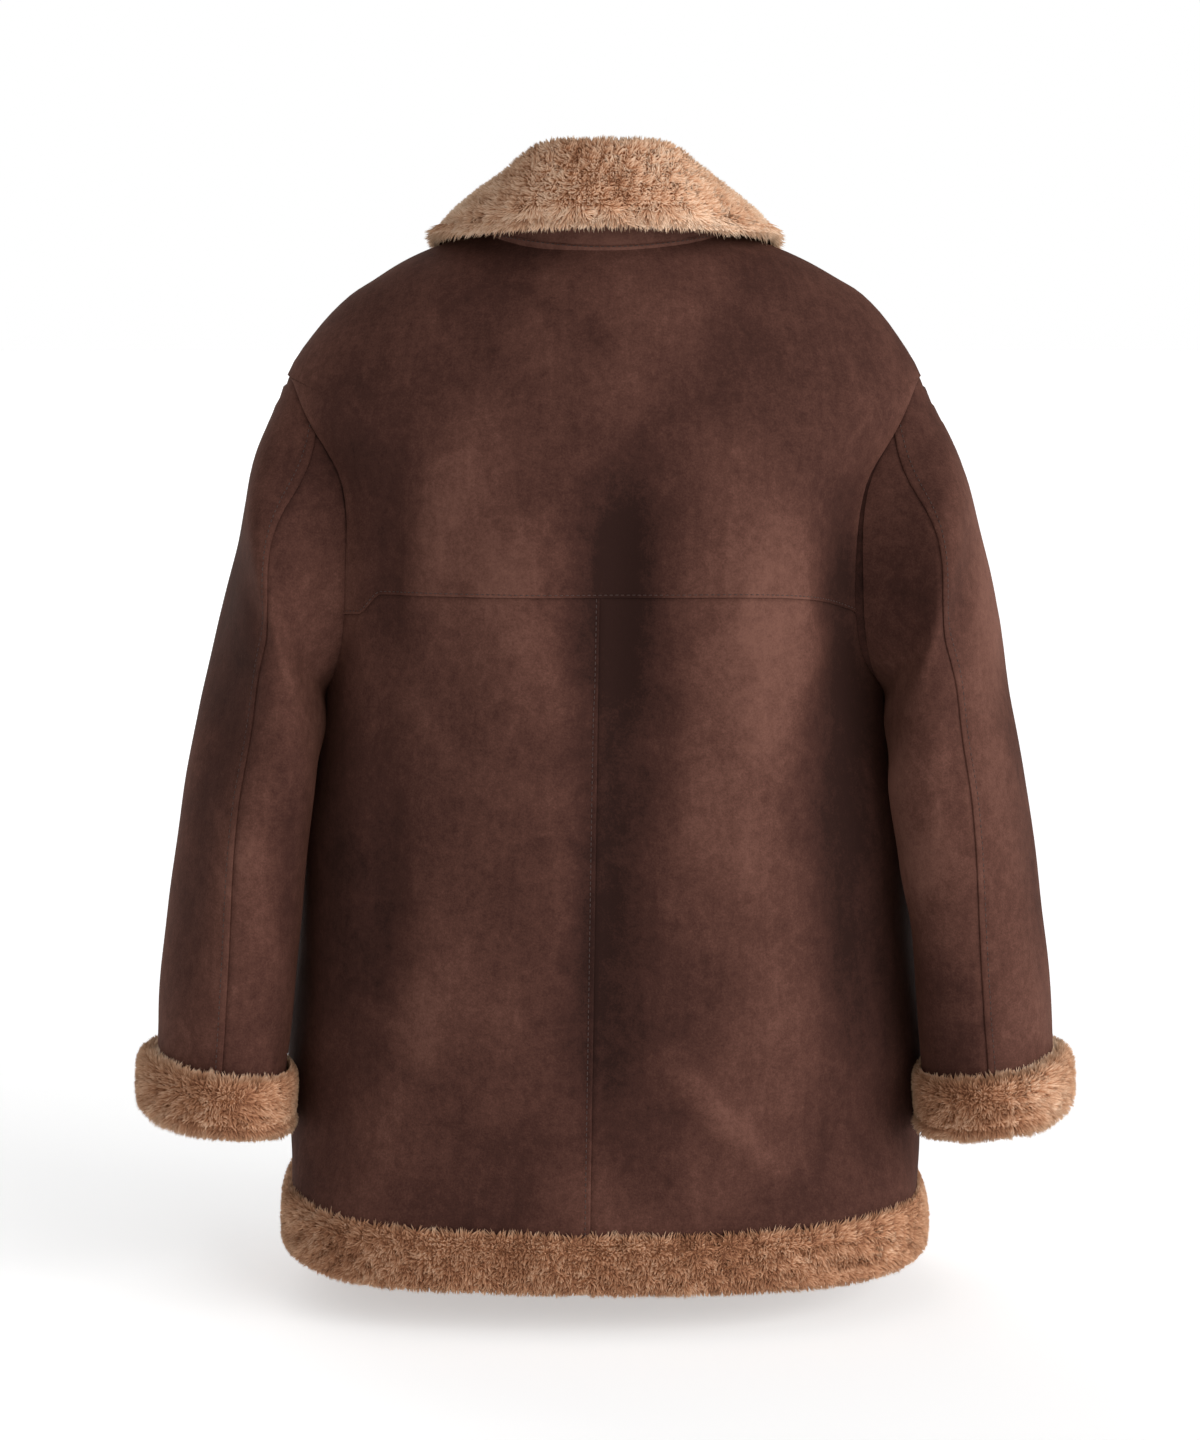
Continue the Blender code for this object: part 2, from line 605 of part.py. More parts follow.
# The cuff's section, round from the bottom of the slot: the level of the sleeve, the share of the
# fur's depth and the further distance out from the sleeve's outer face, and the distance up.
CUFF_COLUMNS = ("level", "fur", "out", "up")
CUFF_SLOT = 2 * SEAM
CUFF = (
    ("slot_bottom",   "end",    0.00, CUFF_SLOT, -CUFF_SLOT),
    ("slot_middle",   "middle", 0.00, CUFF_SLOT, 0.0000),
    ("slot_top",      "top",    0.00, CUFF_SLOT, 0.0000),
    ("top_edge",      "top",    0.35, 0.0000, 0.0045),
    ("top_shoulder",  "top",    0.75, 0.0000, 0.0030),
    ("upper_face",    "top",    1.00, 0.0000, -0.0060),
    ("middle_face",   "middle", 1.06, 0.0000, 0.0000),
    ("lower_face",    "end",    1.00, 0.0000, 0.0020),
    ("lower_curve",   "end",    0.55, 0.0000, -0.0070),
    ("bottom",        "end",   -0.10, 0.0000, -0.0085),
    ("inner_curve",   "end",    0.00, -0.0105, -0.0040),
    ("inner_face",    "end",    0.00, -0.0125, 0.0060),
    ("inner_top",     "end",    0.00, -0.0100, 0.0140),
    ("lip",           "end",    0.00, -WALL - CUFF_SLOT, 0.0130),
    ("lip_bottom",    "end",    0.00, -WALL - CUFF_SLOT, -CUFF_SLOT),
)


def make_cuff(side):
    """A turned-back cuff: a fur ring with a slot that takes the sleeve's end."""
    under, upper = sleeve_turns(side)
    levels = {}
    for place, level in ((-3, "top"), (-2, "middle"), (-1, "end")):
        turns = np.concatenate([under[place, :-1], upper[place, :-1]])
        along = SLEEVE_ROWS[place]
        levels[level] = (turns, sleeve(turns, along), sleeve_normal(turns, along))
    pressed = ease(-np.cos(levels["end"][0]))
    depth = FUR_CUFF * (1 - CUFF_PRESSED * pressed)
    way_up = unit(levels["top"][1] - levels["end"][1])
    loops = []
    for row in CUFF:
        place = named(CUFF_COLUMNS, row)
        turns, base, normal = levels[place["level"]]
        out = place["fur"] * depth + place["out"]
        loops.append(base + normal * out[:, None] + way_up * place["up"])
    sections = np.stack(loops, axis=1) * np.array([side, 1, 1])
    return swept("cuff_left" if side > 0 else "cuff_right", sections, WOOL_TAN, closed=True)


# ---------------------------------------------------------------- hem band


# The band's section, round from its inner top: out from the body's face, and the share of its height.
HEM_COLUMNS = ("out", "share")
HEM_BAND = (
    ("inner_top",    -WALL - 0.001, 0.00),
    ("seam",         0.0015, 0.00),
    ("shoulder",     0.0065, 0.05),
    ("upper_face",   FUR_HEM_OUT, 0.22),
    ("face",         FUR_HEM_OUT + 0.001, 0.60),
    ("lower_face",   FUR_HEM_OUT - 0.002, 0.90),
    ("bottom_out",   0.0015, 1.00),
    ("bottom_in",    -0.0050, 1.00),
    ("inner_low",    -FUR_HEM_IN - 0.001, 0.90),
    ("inner_face",   -FUR_HEM_IN - 0.002, 0.50),
    ("inner_high",   -FUR_HEM_IN, 0.12),
)


def hem_section(angle):
    """Sections of the fur band under the hem seam at these angles."""
    top = body(angle, np.full(angle.shape, HEM))
    normal = body_normal(angle, np.full(angle.shape, HEM))
    outward = unit(normal * np.array([1, 1, 0]))
    height = top[:, 2] - SEAM - HEM_BOTTOM
    tilt = normal[:, 2] / np.linalg.norm(normal[:, :2], axis=1)
    sections = []
    for row in HEM_BAND:
        place = named(HEM_COLUMNS, row)
        out, share = place["out"], place["share"]
        point = top + outward * out
        point[:, 2] = top[:, 2] - SEAM - height * share + min(out, 0.0) * tilt * (1 - share)
        sections.append(point)
    return np.stack(sections, axis=1)


def pull_ends(sections):
    sections = sections.copy()
    sections[0] += unit(sections[1] - sections[0]) * SEAM / 2
    sections[-1] += unit(sections[-2] - sections[-1]) * SEAM / 2
    return sections


def make_hem_band():
    seam = centre_seam(HEM)
    side = np.pi / 2
    front = front_grid()[0][-1]
    right_front = -np.append(front[:RAMP_X.index(0.018) - len(RAMP_X)], front_angle(OVERLAP, HEM))
    spans = (("hem_band_back_left", np.linspace(seam, side, HALF_COLUMNS + 1)),
             ("hem_band_back_right", np.linspace(seam, -side, HALF_COLUMNS + 1)),
             ("hem_band_front_left", front), ("hem_band_front_right", right_front))
    for name, angle in spans:
        swept(name, pull_ends(hem_section(angle)), WOOL_TAN, closed=False)


# ---------------------------------------------------------------- collar


def collar_value(name, angle):
    degrees = np.abs(np.degrees(angle))
    stations = column(COLLAR, COLLAR_COLUMNS, "angle")
    return smooth_through(stations, column(COLLAR, COLLAR_COLUMNS, name), degrees)


def level_outward(angle, down):
    """Level direction straight out from a ring of the body."""
    step = 1e-3
    way = body_form(angle + step, down) - body_form(angle - step, down)
    return unit(np.stack([-way[..., 1], way[..., 0], np.zeros(angle.shape)], axis=-1))


def collar_middle(angle, share):
    """The collar's middle surface: share 0 at the neck seam, about 0.5 at the roll, 1 at the edge."""
    base = body(angle, np.zeros(angle.shape))
    outward = level_outward(angle, np.zeros(angle.shape))

    def place(out, up):
        point = base + outward * np.asarray(out)[..., None]
        point[..., 2] += up
        return point

    flat = np.zeros(angle.shape)
    roll_out = collar_value("roll_out", angle)
    roll_up = collar_value("roll_up", angle)
    (foot_out, foot_up), (stand_out, stand_share) = COLLAR_BASE
    stops = np.array([
        place(flat + foot_out, flat + foot_up),
        place(flat + stand_out, stand_share * roll_up),
        place(roll_out, roll_up),
        place(collar_value("mid_out", angle), collar_value("mid_up", angle)),
        place(collar_value("edge_out", angle), collar_value("edge_up", angle)),
    ])
    return smooth_through(np.linspace(0, 1, 5), stops, np.array([share]))[0]


def collar_frame(angle, share):
    """Middle surface and its direction away from the neck and the roll's inside."""
    step = 1e-3
    near = min(max(share - step, 0.0), 1 - 2 * step)
    around = collar_middle(angle + step, share) - collar_middle(angle - step, share)
    along = collar_middle(angle, near + 2 * step) - collar_middle(angle, near)
    return collar_middle(angle, share), unit(np.cross(around, along))


COLLAR_SHARES = (0, 0.03, 0.12, 0.24, 0.36, 0.44, 0.52, 0.60, 0.70, 0.80, 0.90, 0.97, 1.0)
COLLAR_ANGLES = np.radians(np.linspace(-COLLAR_END, COLLAR_END, 35))
EDGE_FROM = 0.93          # the collar's edge is rounded from this share on
EDGE_THINNING = 0.55      # and loses this much of its thickness


def collar_half(share):
    """Half the fur's thickness, at a share of the way from the neck seam to the edge."""
    return (FUR_COLLAR + (FUR_COLLAR_EDGE - FUR_COLLAR) * ease((share - 0.5) / 0.5)) / 2


def make_collar():
    outer, inner = [], []
    for share in COLLAR_SHARES:
        middle, normal = collar_frame(COLLAR_ANGLES, share)
        thinned = max(0.0, (share - EDGE_FROM) / (1 - EDGE_FROM)) ** 2
        half = collar_half(share) * (1 - EDGE_THINNING * thinned)
        outer.append(middle + normal * half)
        inner.append(middle - normal * half)
    return shell("collar", np.array(outer), np.array(inner), WOOL_TAN, edges=("top",))


def collar_skin(name, shares, angles):
    """Thin suede on the roll's inside, from one share of the collar to another."""
    near, far = [], []
    for share in shares:
        middle, normal = collar_frame(angles, share)
        half = collar_half(share)
        near.append(middle - normal * (half + 2 * SEAM))
        far.append(middle - normal * (half + 2 * SEAM + SUEDE))
    return shell(name, np.array(far), np.array(near), SUEDE_BROWN, edges=())


# ---------------------------------------------------------------- buttons


# A button's turned profile, as shares of its radius and thickness, from its back to its dished face.
BUTTON_COLUMNS = ("radius", "rise")
BUTTON = (
    ("back",        0.60, 0.00),
    ("back_edge",   0.86, 0.06),
    ("side_back",   1.00, 0.35),
    ("side_front",  1.00, 0.75),
    ("rim_outside", 0.92, 1.00),
    ("rim_inside",  0.80, 0.92),
    ("dish_edge",   0.70, 0.62),
    ("dish",        0.35, 0.56),
)
BUTTON_SIDES = 14


def make_button(number, height):
    """A plain sewn button: a disc with a raised rim, on the left front's centre line."""
    downs = np.linspace(0, HEM, 400)
    angle = np.array([np.pi])
    down = np.array([np.interp(-height, -torso_value("front_z", downs), downs)])
    seat = body(angle, down, WALL + 3 * SEAM)[0]
    axis = body_normal(angle, down)[0]
    across = np.array([1.0, 0.0, 0.0])
    upward = np.cross(axis, across)
    turn = np.linspace(0, 2 * np.pi, BUTTON_SIDES, endpoint=False)[:, None]
    round_it = np.cos(turn) * across + np.sin(turn) * upward
    rings = []
    for row in BUTTON:
        place = named(BUTTON_COLUMNS, row)
        rings.append(seat + round_it * BUTTON_RADIUS * place["radius"]
                     + axis * BUTTON_THICKNESS * place["rise"])
    return swept(f"button_{number}", np.array(rings), HORN_BROWN, closed=False)


# ---------------------------------------------------------------- the coat


def make_coat():
    make_yoke()
    for side in (1, -1):
        make_back(side)
        make_front(side)
        make_sleeve(side)
        make_cuff(side)
    make_hem_band()
    make_collar()
    behind = np.abs(COLLAR_ANGLES) < np.radians(STAND_END)
    collar_skin("collar_stand", COLLAR_SHARES[:4], COLLAR_ANGLES[behind])
    collar_skin("under_collar", COLLAR_SHARES[7:11], COLLAR_ANGLES)
    for number, height in enumerate(BUTTON_HEIGHTS, start=1):
        make_button(number, height)


for thing in list(bpy.data.objects):
    bpy.data.objects.remove(thing)
make_coat()
print("coat:", len(bpy.data.objects), "pieces")
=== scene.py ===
# %% [markdown]
# # A shearling coat, filled out, with nobody in it
#
# Shearling is sheepskin used both ways round. The skin side is brushed to suede and shows outside,
# and the wool, clipped short, is the lining. Where the skin is turned over, at the collar, the cuffs
# and the hem, the wool comes outside.
#
# The lesson starts from the plain solids of the coat, which already have their real size and shape.
# It dresses them with fine panels that have creases, laps and stitching, with a pile of wool locks,
# and with buttons. Everything is in metres, +Z is up, +Y is the back and +X is the wearer's left.

# %% Load the plain solids
import math

import bpy
import numpy as np
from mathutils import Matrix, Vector


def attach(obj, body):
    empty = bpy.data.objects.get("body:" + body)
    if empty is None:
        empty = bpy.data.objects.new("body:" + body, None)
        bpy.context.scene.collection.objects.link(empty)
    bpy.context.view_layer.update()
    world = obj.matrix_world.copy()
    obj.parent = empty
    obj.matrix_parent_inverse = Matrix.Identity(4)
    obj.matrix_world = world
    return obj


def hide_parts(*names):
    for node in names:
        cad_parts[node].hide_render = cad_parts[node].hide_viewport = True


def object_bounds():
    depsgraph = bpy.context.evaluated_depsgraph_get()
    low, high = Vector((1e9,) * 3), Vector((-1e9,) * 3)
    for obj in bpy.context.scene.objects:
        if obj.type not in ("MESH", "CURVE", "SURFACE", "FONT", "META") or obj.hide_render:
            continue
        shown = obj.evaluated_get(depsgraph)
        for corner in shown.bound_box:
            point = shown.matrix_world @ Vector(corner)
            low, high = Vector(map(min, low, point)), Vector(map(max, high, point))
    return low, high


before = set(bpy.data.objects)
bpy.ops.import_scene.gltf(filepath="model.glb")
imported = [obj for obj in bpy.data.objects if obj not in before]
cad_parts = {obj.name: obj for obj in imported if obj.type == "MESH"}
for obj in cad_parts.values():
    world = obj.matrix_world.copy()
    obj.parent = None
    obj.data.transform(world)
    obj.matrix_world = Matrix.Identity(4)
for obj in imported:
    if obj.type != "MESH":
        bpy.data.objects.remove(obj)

CAD_BOX = [list(corner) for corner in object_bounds()]
SCENE = bpy.context.scene
print("solids:", len(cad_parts), "in a box from", CAD_BOX[0], "to", CAD_BOX[1])

# %% [markdown]
# ## Camera
#
# The coat is seen from straight behind, a little above its middle. A long lens from far away keeps
# the outline from bulging towards the camera. The focal length could be found by trial, but it is
# plainer to work it out: at the coat's distance, the width of the picture has to be 0.936 m.

# %% Camera
SENSOR = 36.0                        # width of the sensor, mm
VIEW_WIDTH = 0.936                   # width that the picture takes in at the coat, m
EYE = Vector((-0.002, 2.70, -0.02))
AIM = Vector((0.004, 0.0, -0.372))

camera_data = bpy.data.cameras.new("camera")
camera_data.sensor_fit = "HORIZONTAL"
camera_data.sensor_width = SENSOR
camera_data.lens = SENSOR * (AIM - EYE).length / VIEW_WIDTH
camera = bpy.data.objects.new("camera", camera_data)
camera.location = EYE
camera.rotation_euler = (AIM - EYE).to_track_quat("-Z", "Y").to_euler()
SCENE.collection.objects.link(camera)
SCENE.camera = camera
print("lens:", round(camera_data.lens, 1), "mm")

# %% [markdown]
# ## Colours and a node helper
#
# Colours are easiest to judge as the hex values that a screen shows, but shaders work with linear
# light, so one function turns the one into the other. A second small function adds a shader node
# with its settings and its links, because setting up each node by hand takes many lines. The others
# make a material, a ramp of colours, and a look out of both.

# %% Colour and node helpers


def linear(code):
    """An sRGB hex colour as linear RGBA."""
    values = [int(code[i:i + 2], 16) / 255 for i in (1, 3, 5)]
    return tuple(v / 12.92 if v <= 0.04045 else ((v + 0.055) / 1.055) ** 2.4 for v in values) + (1.0,)


def add(tree, kind, inputs=None, **settings):
    """Add a node. Each input is a value, or the socket of another node to link from."""
    made = tree.nodes.new(kind)
    for name, value in settings.items():
        setattr(made, name, value)
    for place, value in (inputs or {}).items():
        if isinstance(value, bpy.types.NodeSocket):
            tree.links.new(value, made.inputs[place])
        else:
            made.inputs[place].default_value = value
    return made


def new_material(name, values):
    """A material of one Principled shader, with these values on the shader's own sockets."""
    material = bpy.data.materials.new(name)
    material.use_nodes = True
    tree = material.node_tree
    tree.nodes.clear()
    shader = add(tree, "ShaderNodeBsdfPrincipled", values)
    add(tree, "ShaderNodeOutputMaterial", {"Surface": shader.outputs["BSDF"]})
    return material, tree, shader


def ramp(tree, factor, stops):
    """A colour ramp through (place, hex colour) stops."""
    made = add(tree, "ShaderNodeValToRGB", {"Fac": factor})
    points = made.color_ramp.elements
    while len(points) < len(stops):
        points.new(0.5)
    for point, (place, code) in zip(points, stops):
        point.position = place
        point.color = linear(code)
    return made.outputs["Color"]


def paint(tree, shader, tone, stops, relief=None, strength=0.0, depth=0.0):
    """Colour a shader by a pattern of tones, and raise it a little by a pattern of heights."""
    tree.links.new(ramp(tree, tone, stops), shader.inputs["Base Color"])
    if relief is not None:
        bump = add(tree, "ShaderNodeBump", {"Height": relief, "Strength": strength, "Distance": depth})
        tree.links.new(bump.outputs["Normal"], shader.inputs["Normal"])


print("suede brown is", [round(v, 3) for v in linear("#54352D")])

# %% [markdown]
# ## Floor and light
#
# A product is lit softly, from one side, in a white room. A sun lamp with a wide disc does that: its
# light comes from the right of the camera and from above, and its shadows have soft edges. A small
# lamp would draw hard edges on the folds, which suede never has. The world gives the light that the
# room sends back. The camera sees it as a white backdrop, while the coat gets less light from it, or
# its folds would have no shaded side.

# %% Floor and light
FLOOR_DROP = 0.035                   # the coat hangs this far above the floor
FLOOR_SIZE = 60.0
FLOOR_GLOW = 0.43                    # light of the floor's own, so that its shadows stay pale
ROOM_LIGHT = 0.34                    # light that the room sends back
LAMP_WIDTH = 50.0                    # degrees that a lamp's disc takes up
LAMPS = (
    # name, strength, and the side that it shines from
    ("key",  2.35, (-1.05, 1.00, 0.42)),
    ("low",  0.8, (-0.10, 1.00, -0.40)),
    ("side", 2.2, (-1.60, 0.30, 0.10)),
    ("fill", 0.4, (0.80, 1.00, 0.20)),
    ("back", 0.8, (0.50, -1.00, 0.60)),
)


def make_floor():
    low = CAD_BOX[0][2] - FLOOR_DROP
    half = FLOOR_SIZE / 2
    corners = [(-half, -half, low), (half, -half, low), (half, half, low), (-half, half, low)]
    mesh = bpy.data.meshes.new("floor")
    mesh.from_pydata(corners, [], [(0, 1, 2, 3)])
    floor = bpy.data.objects.new("floor", mesh)
    SCENE.collection.objects.link(floor)
    white, *_ = new_material("matt_white_paint", {
        "Base Color": linear("#F3F3F3"), "Emission Color": linear("#FFFFFF"),
        "Emission Strength": FLOOR_GLOW, "Roughness": 0.9, "Specular IOR Level": 0.1})
    mesh.materials.append(white)
    return low


def make_sun(name, strength, source):
    lamp = bpy.data.lights.new(name, "SUN")
    lamp.energy = strength
    lamp.angle = math.radians(LAMP_WIDTH)
    thing = bpy.data.objects.new(name, lamp)
    thing.rotation_euler = (-Vector(source)).to_track_quat("-Z", "Y").to_euler()
    SCENE.collection.objects.link(thing)


def make_room(strength):
    """A white backdrop to the eye, and a weaker light to the coat."""
    world = bpy.data.worlds.new("white_room")
    world.use_nodes = True
    tree = world.node_tree
    seen = add(tree, "ShaderNodeLightPath").outputs["Is Camera Ray"]
    level = add(tree, "ShaderNodeMapRange", {"Value": seen, "To Min": strength, "To Max": 1.0})
    tree.links.new(level.outputs["Result"], tree.nodes["Background"].inputs["Strength"])
    tree.nodes["Background"].inputs["Color"].default_value = linear("#FFFFFF")
    SCENE.world = world


SCENE.view_settings.view_transform = "Standard"
FLOOR = make_floor()
make_room(ROOM_LIGHT)
for lamp_name, strength, source in LAMPS:
    make_sun(lamp_name, strength, source)
print("floor at", round(FLOOR, 3))

# %% [markdown]
# ## The coat's sizes
#
# The panels have to lie exactly on the solids, so they are worked out again from the same rings: one
# short table for the body, one for the sleeve and one for the collar. A table only has a row where
# the form changes. The mesh could be read from the solids instead, but then it would be as coarse as
# they are.

# %% Rings of the body, the sleeve and the collar
SIDES = {1: "left", -1: "right"}         # the wearer's sides, by the sign of x
WALL = 0.004              # sheepskin: suede with its clipped wool
SEAM = 0.0003             # gap between two pieces along a seam
SUEDE = 0.0015            # thin suede, on the collar
FUR_CUFF = 0.017          # how far the turned-back cuff stands out from the sleeve
CUFF_PRESSED = 0.60       # share of that lost where the cuff lies against the body
FUR_COLLAR = 0.013        # thickness of the collar at its roll
FUR_COLLAR_EDGE = 0.010   # and at the edge of its fall
HEM_BOTTOM = -0.787       # height of the lower edge
OVERLAP = 0.025           # each front runs this far past the centre line
BUTTON_RADIUS = 0.0125
BUTTON_THICKNESS = 0.0045
BUTTON_HEIGHTS = (-0.205, -0.340, -0.475, -0.610)


def table(columns, *rows):
    """Rows that are read by the names of their columns; the first is the row's own name."""
    return [dict(zip(["name"] + columns.split(), row)) for row in rows]


TORSO = table(
    "side_z back_z front_z half_width side_y back_y front_y square",
    ("neckline",        0.004, -0.009, -0.095, 0.0920, 0.000, 0.0780, -0.0840, 2.00),
    ("collar_inner",   -0.001, -0.034, -0.118, 0.1150, 0.000, 0.0940, -0.0980, 1.96),
    ("collar_edge",    -0.009, -0.058, -0.138, 0.1390, 0.000, 0.1070, -0.1080, 1.92),
    ("shoulder_inner", -0.019, -0.080, -0.156, 0.1600, 0.000, 0.1170, -0.1150, 1.88),
    ("shoulder_mid",   -0.031, -0.100, -0.172, 0.1790, 0.000, 0.1245, -0.1200, 1.85),
    ("shoulder_outer", -0.043, -0.118, -0.186, 0.1970, 0.000, 0.1300, -0.1235, 1.84),
    ("shoulder_turn",  -0.066, -0.137, -0.200, 0.2195, 0.000, 0.1355, -0.1270, 1.84),
    ("shoulder_tip",   -0.104, -0.160, -0.216, 0.2435, 0.000, 0.1405, -0.1300, 1.86),
    ("shoulder_blade", -0.180, -0.208, -0.243, 0.2190, 0.000, 0.1470, -0.1340, 2.05),
    ("yoke_line",      -0.256, -0.2625, -0.275, 0.2130, -0.002, 0.1515, -0.1375, 2.25),
    ("underarm",       -0.345, -0.345, -0.345, 0.2130, -0.006, 0.1530, -0.1400, 2.30),
    ("below_arm",      -0.375, -0.375, -0.375, 0.2198, -0.010, 0.1533, -0.1405, 2.28),
    ("waist",          -0.430, -0.430, -0.430, 0.2325, -0.018, 0.1540, -0.1415, 2.25),
    ("hip",            -0.500, -0.500, -0.500, 0.2400, -0.026, 0.1550, -0.1435, 2.25),
    ("seat",           -0.600, -0.600, -0.600, 0.2480, -0.033, 0.1560, -0.1460, 2.20),
    ("above_hem",      -0.700, -0.700, -0.700, 0.2485, -0.031, 0.1570, -0.1490, 2.36),
    ("hem_seam",       -0.737, -0.742, -0.742, 0.2460, -0.029, 0.1575, -0.1505, 3.00),
)
SLEEVE = table(
    "outer_x outer_z inner_x inner_z centre_y half_depth twist square",
    ("cap",       0.2665, -0.155, 0.2158, -0.3505, 0.002, 0.098, 0, 2.00),
    ("upper_arm", 0.2905, -0.240, 0.2178, -0.3720, 0.010, 0.094, 7, 2.05),
    ("biceps",    0.3065, -0.310, 0.2220, -0.4100, 0.025, 0.086, 17, 2.10),
    ("elbow",     0.3250, -0.405, 0.2290, -0.4650, 0.033, 0.080, 19, 2.10),
    ("forearm",   0.3370, -0.497, 0.2350, -0.5300, 0.038, 0.076, 20, 2.10),
    ("lower_arm", 0.3460, -0.588, 0.2415, -0.6030, 0.041, 0.071, 19, 2.10),
    ("wrist",     0.3480, -0.638, 0.2470, -0.6490, 0.042, 0.068, 17, 2.10),
    ("end",       0.3480, -0.665, 0.2485, -0.6790, 0.042, 0.066, 16, 2.10),
)
COLLAR = table(
    "angle roll_out roll_up mid_out mid_up edge_out edge_up",
    ("centre_back",  0, 0.008, 0.077, 0.027, 0.049, 0.034, 0.020),
    ("nape_side",   28, 0.006, 0.071, 0.026, 0.044, 0.034, 0.015),
    ("behind_ear",  48, 0.002, 0.049, 0.021, 0.030, 0.034, 0.008),
    ("side",        90, 0.000, 0.024, 0.018, 0.014, 0.038, -0.003),
    ("over_front", 108, 0.001, 0.023, 0.020, 0.009, 0.043, -0.013),
    ("collarbone", 125, 0.003, 0.022, 0.026, -0.003, 0.052, -0.038),
    ("front",      165, 0.006, 0.020, 0.031, -0.017, 0.052, -0.064),
)
COLLAR_BASE = ((-0.0074, 0.0005), (-0.0070, 0.55))    # in from the neck seam; up, then share of the roll
COLLAR_END = 176.0        # the collar stops at this angle on either side
STAND_END = 100.0         # and the suede on its stand at this one
print("rings:", len(TORSO), "of the body,", len(SLEEVE), "of a sleeve")

# %% [markdown]
# ## Smooth curves through a table
#
# Between the rows of a table, a smooth curve fills in, so that a panel can be as fine as it needs to
# be. NumPy works this out for a whole grid of points at once, which is far faster in Python than
# one point at a time.

# %% Curve helpers


def column(rows, name):
    """One column of a table."""
    return np.array([row[name] for row in rows])


def smooth_through(stations, values, at):
    """A smooth curve through values at rising stations. Values may be arrays in their own right."""
    stations = np.asarray(stations, float)
    values = np.asarray(values, float)
    at = np.clip(np.asarray(at, float), stations[0], stations[-1])
    steps = np.diff(stations)
    shape = (-1,) + (1,) * (values.ndim - 1)
    slopes = np.diff(values, axis=0) / steps.reshape(shape)
    inner = slopes[:-1] * steps[1:].reshape(shape) + slopes[1:] * steps[:-1].reshape(shape)
    inner = inner / (steps[1:] + steps[:-1]).reshape(shape)
    tangents = np.concatenate([slopes[:1], inner, slopes[-1:]])
    k = np.clip(np.searchsorted(stations, at, side="right") - 1, 0, len(steps) - 1)
    length = steps[k]
    f = (at - stations[k]) / length
    if values.ndim > 1:
        extra = (1,) * (values.ndim - 1)
        f = f.reshape(f.shape + extra) if f.ndim < values.ndim else f[..., None]
        length = length.reshape(f.shape)
    h00 = (1 + 2 * f) * (1 - f) ** 2
    h10 = f * (1 - f) ** 2
    h01 = f * f * (3 - 2 * f)
    h11 = f * f * (f - 1)
    return (h00 * values[k] + h10 * length * tangents[k]
            + h01 * values[k + 1] + h11 * length * tangents[k + 1])


def refined(values, steps):
    """A smooth curve through values, with this many steps from each to the next."""
    last = len(values) - 1
    return smooth_through(np.arange(last + 1), values, np.linspace(0, last, last * steps + 1))


def joined(values, axis=0):
    """Values with the first repeated at the end, so that they join up."""
    return np.concatenate([values, np.take(values, [0], axis)], axis)


def reach_along(line):
    """How far each point of a line lies from its start. A grid is taken down its columns."""
    steps = np.linalg.norm(np.diff(line, axis=0), axis=-1)
    return np.concatenate([np.zeros_like(steps[:1]), np.cumsum(steps, axis=0)])


def read_along(places, reach, line):
    """Points of a line, or directions kept for them, at places along it."""
    return np.stack([np.interp(places, reach, line[:, k]) for k in range(3)], axis=-1)


def ease(x):
    """0 below 0, 1 above 1, smooth between."""
    x = np.clip(x, 0.0, 1.0)
    return x * x * (3 - 2 * x)


def hump(x, width=1.0):
    """1 at 0, and nearly nothing from two widths away."""
    return np.exp(-(x / width) ** 2)


def fading(share, over):
    """1 along a line, and less over a share of it at either end."""
    return ease(share / over) * ease((1 - share) / over)


def from_start(place, width):
    """1 at place 0, and nothing from this width on."""
    return ease((width - place) / width)


def band(place, middle, width):
    """1 in the middle, and nothing from this width away."""
    return ease(1 - abs(place - middle) / width)


def by_row(values, columns):
    """A grid whose rows hold one value each."""
    return np.repeat(values[:, None], columns, axis=1)


def unit(v):
    return v / np.maximum(np.linalg.norm(v, axis=-1, keepdims=True), 1e-12)


def facing(surface, turn, along, turn_step=1e-3, step=1e-3, last=np.inf):
    """Direction straight out of a surface of (turn, along), from neighbours these steps away."""
    near = np.clip(along - step, 0.0, last - 2 * step)
    around = surface(turn + turn_step, along) - surface(turn - turn_step, along)
    onward = surface(turn, near + 2 * step) - surface(turn, near)
    return unit(np.cross(around, onward))


def superellipse(angle, square):
    """A rounded outline of half width 1 both ways; square is 2 for a circle."""
    c = np.cos(angle)
    s = np.sin(angle)
    size = (np.abs(c) ** square + np.abs(s) ** square) ** (1 / square)
    return c / size, s / size


print("halfway between rows 0 and 1:", smooth_through([0, 1], [0.0, 1.0], 0.5))

# %% [markdown]
# ## The body's surface
#
# A point on the body has an angle, 0 at the centre back and a quarter turn at the wearer's left side,
# and a distance down the centre back. Each ring is a rounded rectangle, a superellipse, and its
# sides, back and front lie at heights of their own. That is what makes the sloping shoulders.

# %% Body form
back_z = column(TORSO, "back_z")
back_y = column(TORSO, "back_y")
STATIONS = np.concatenate([[0.0], np.cumsum(np.hypot(np.diff(back_z), np.diff(back_y)))])
ROW_NAMES = [row["name"] for row in TORSO]
TIP = STATIONS[ROW_NAMES.index("shoulder_tip")]
YOKE = STATIONS[ROW_NAMES.index("yoke_line")]
UNDERARM = STATIONS[ROW_NAMES.index("underarm")]
HEM = STATIONS[-1]
ARMHOLE_MIDDLE = (TIP + UNDERARM) / 2
ARMHOLE_HALF = (UNDERARM - TIP) / 2


def torso_value(name, down):
    return smooth_through(STATIONS, column(TORSO, name), down)


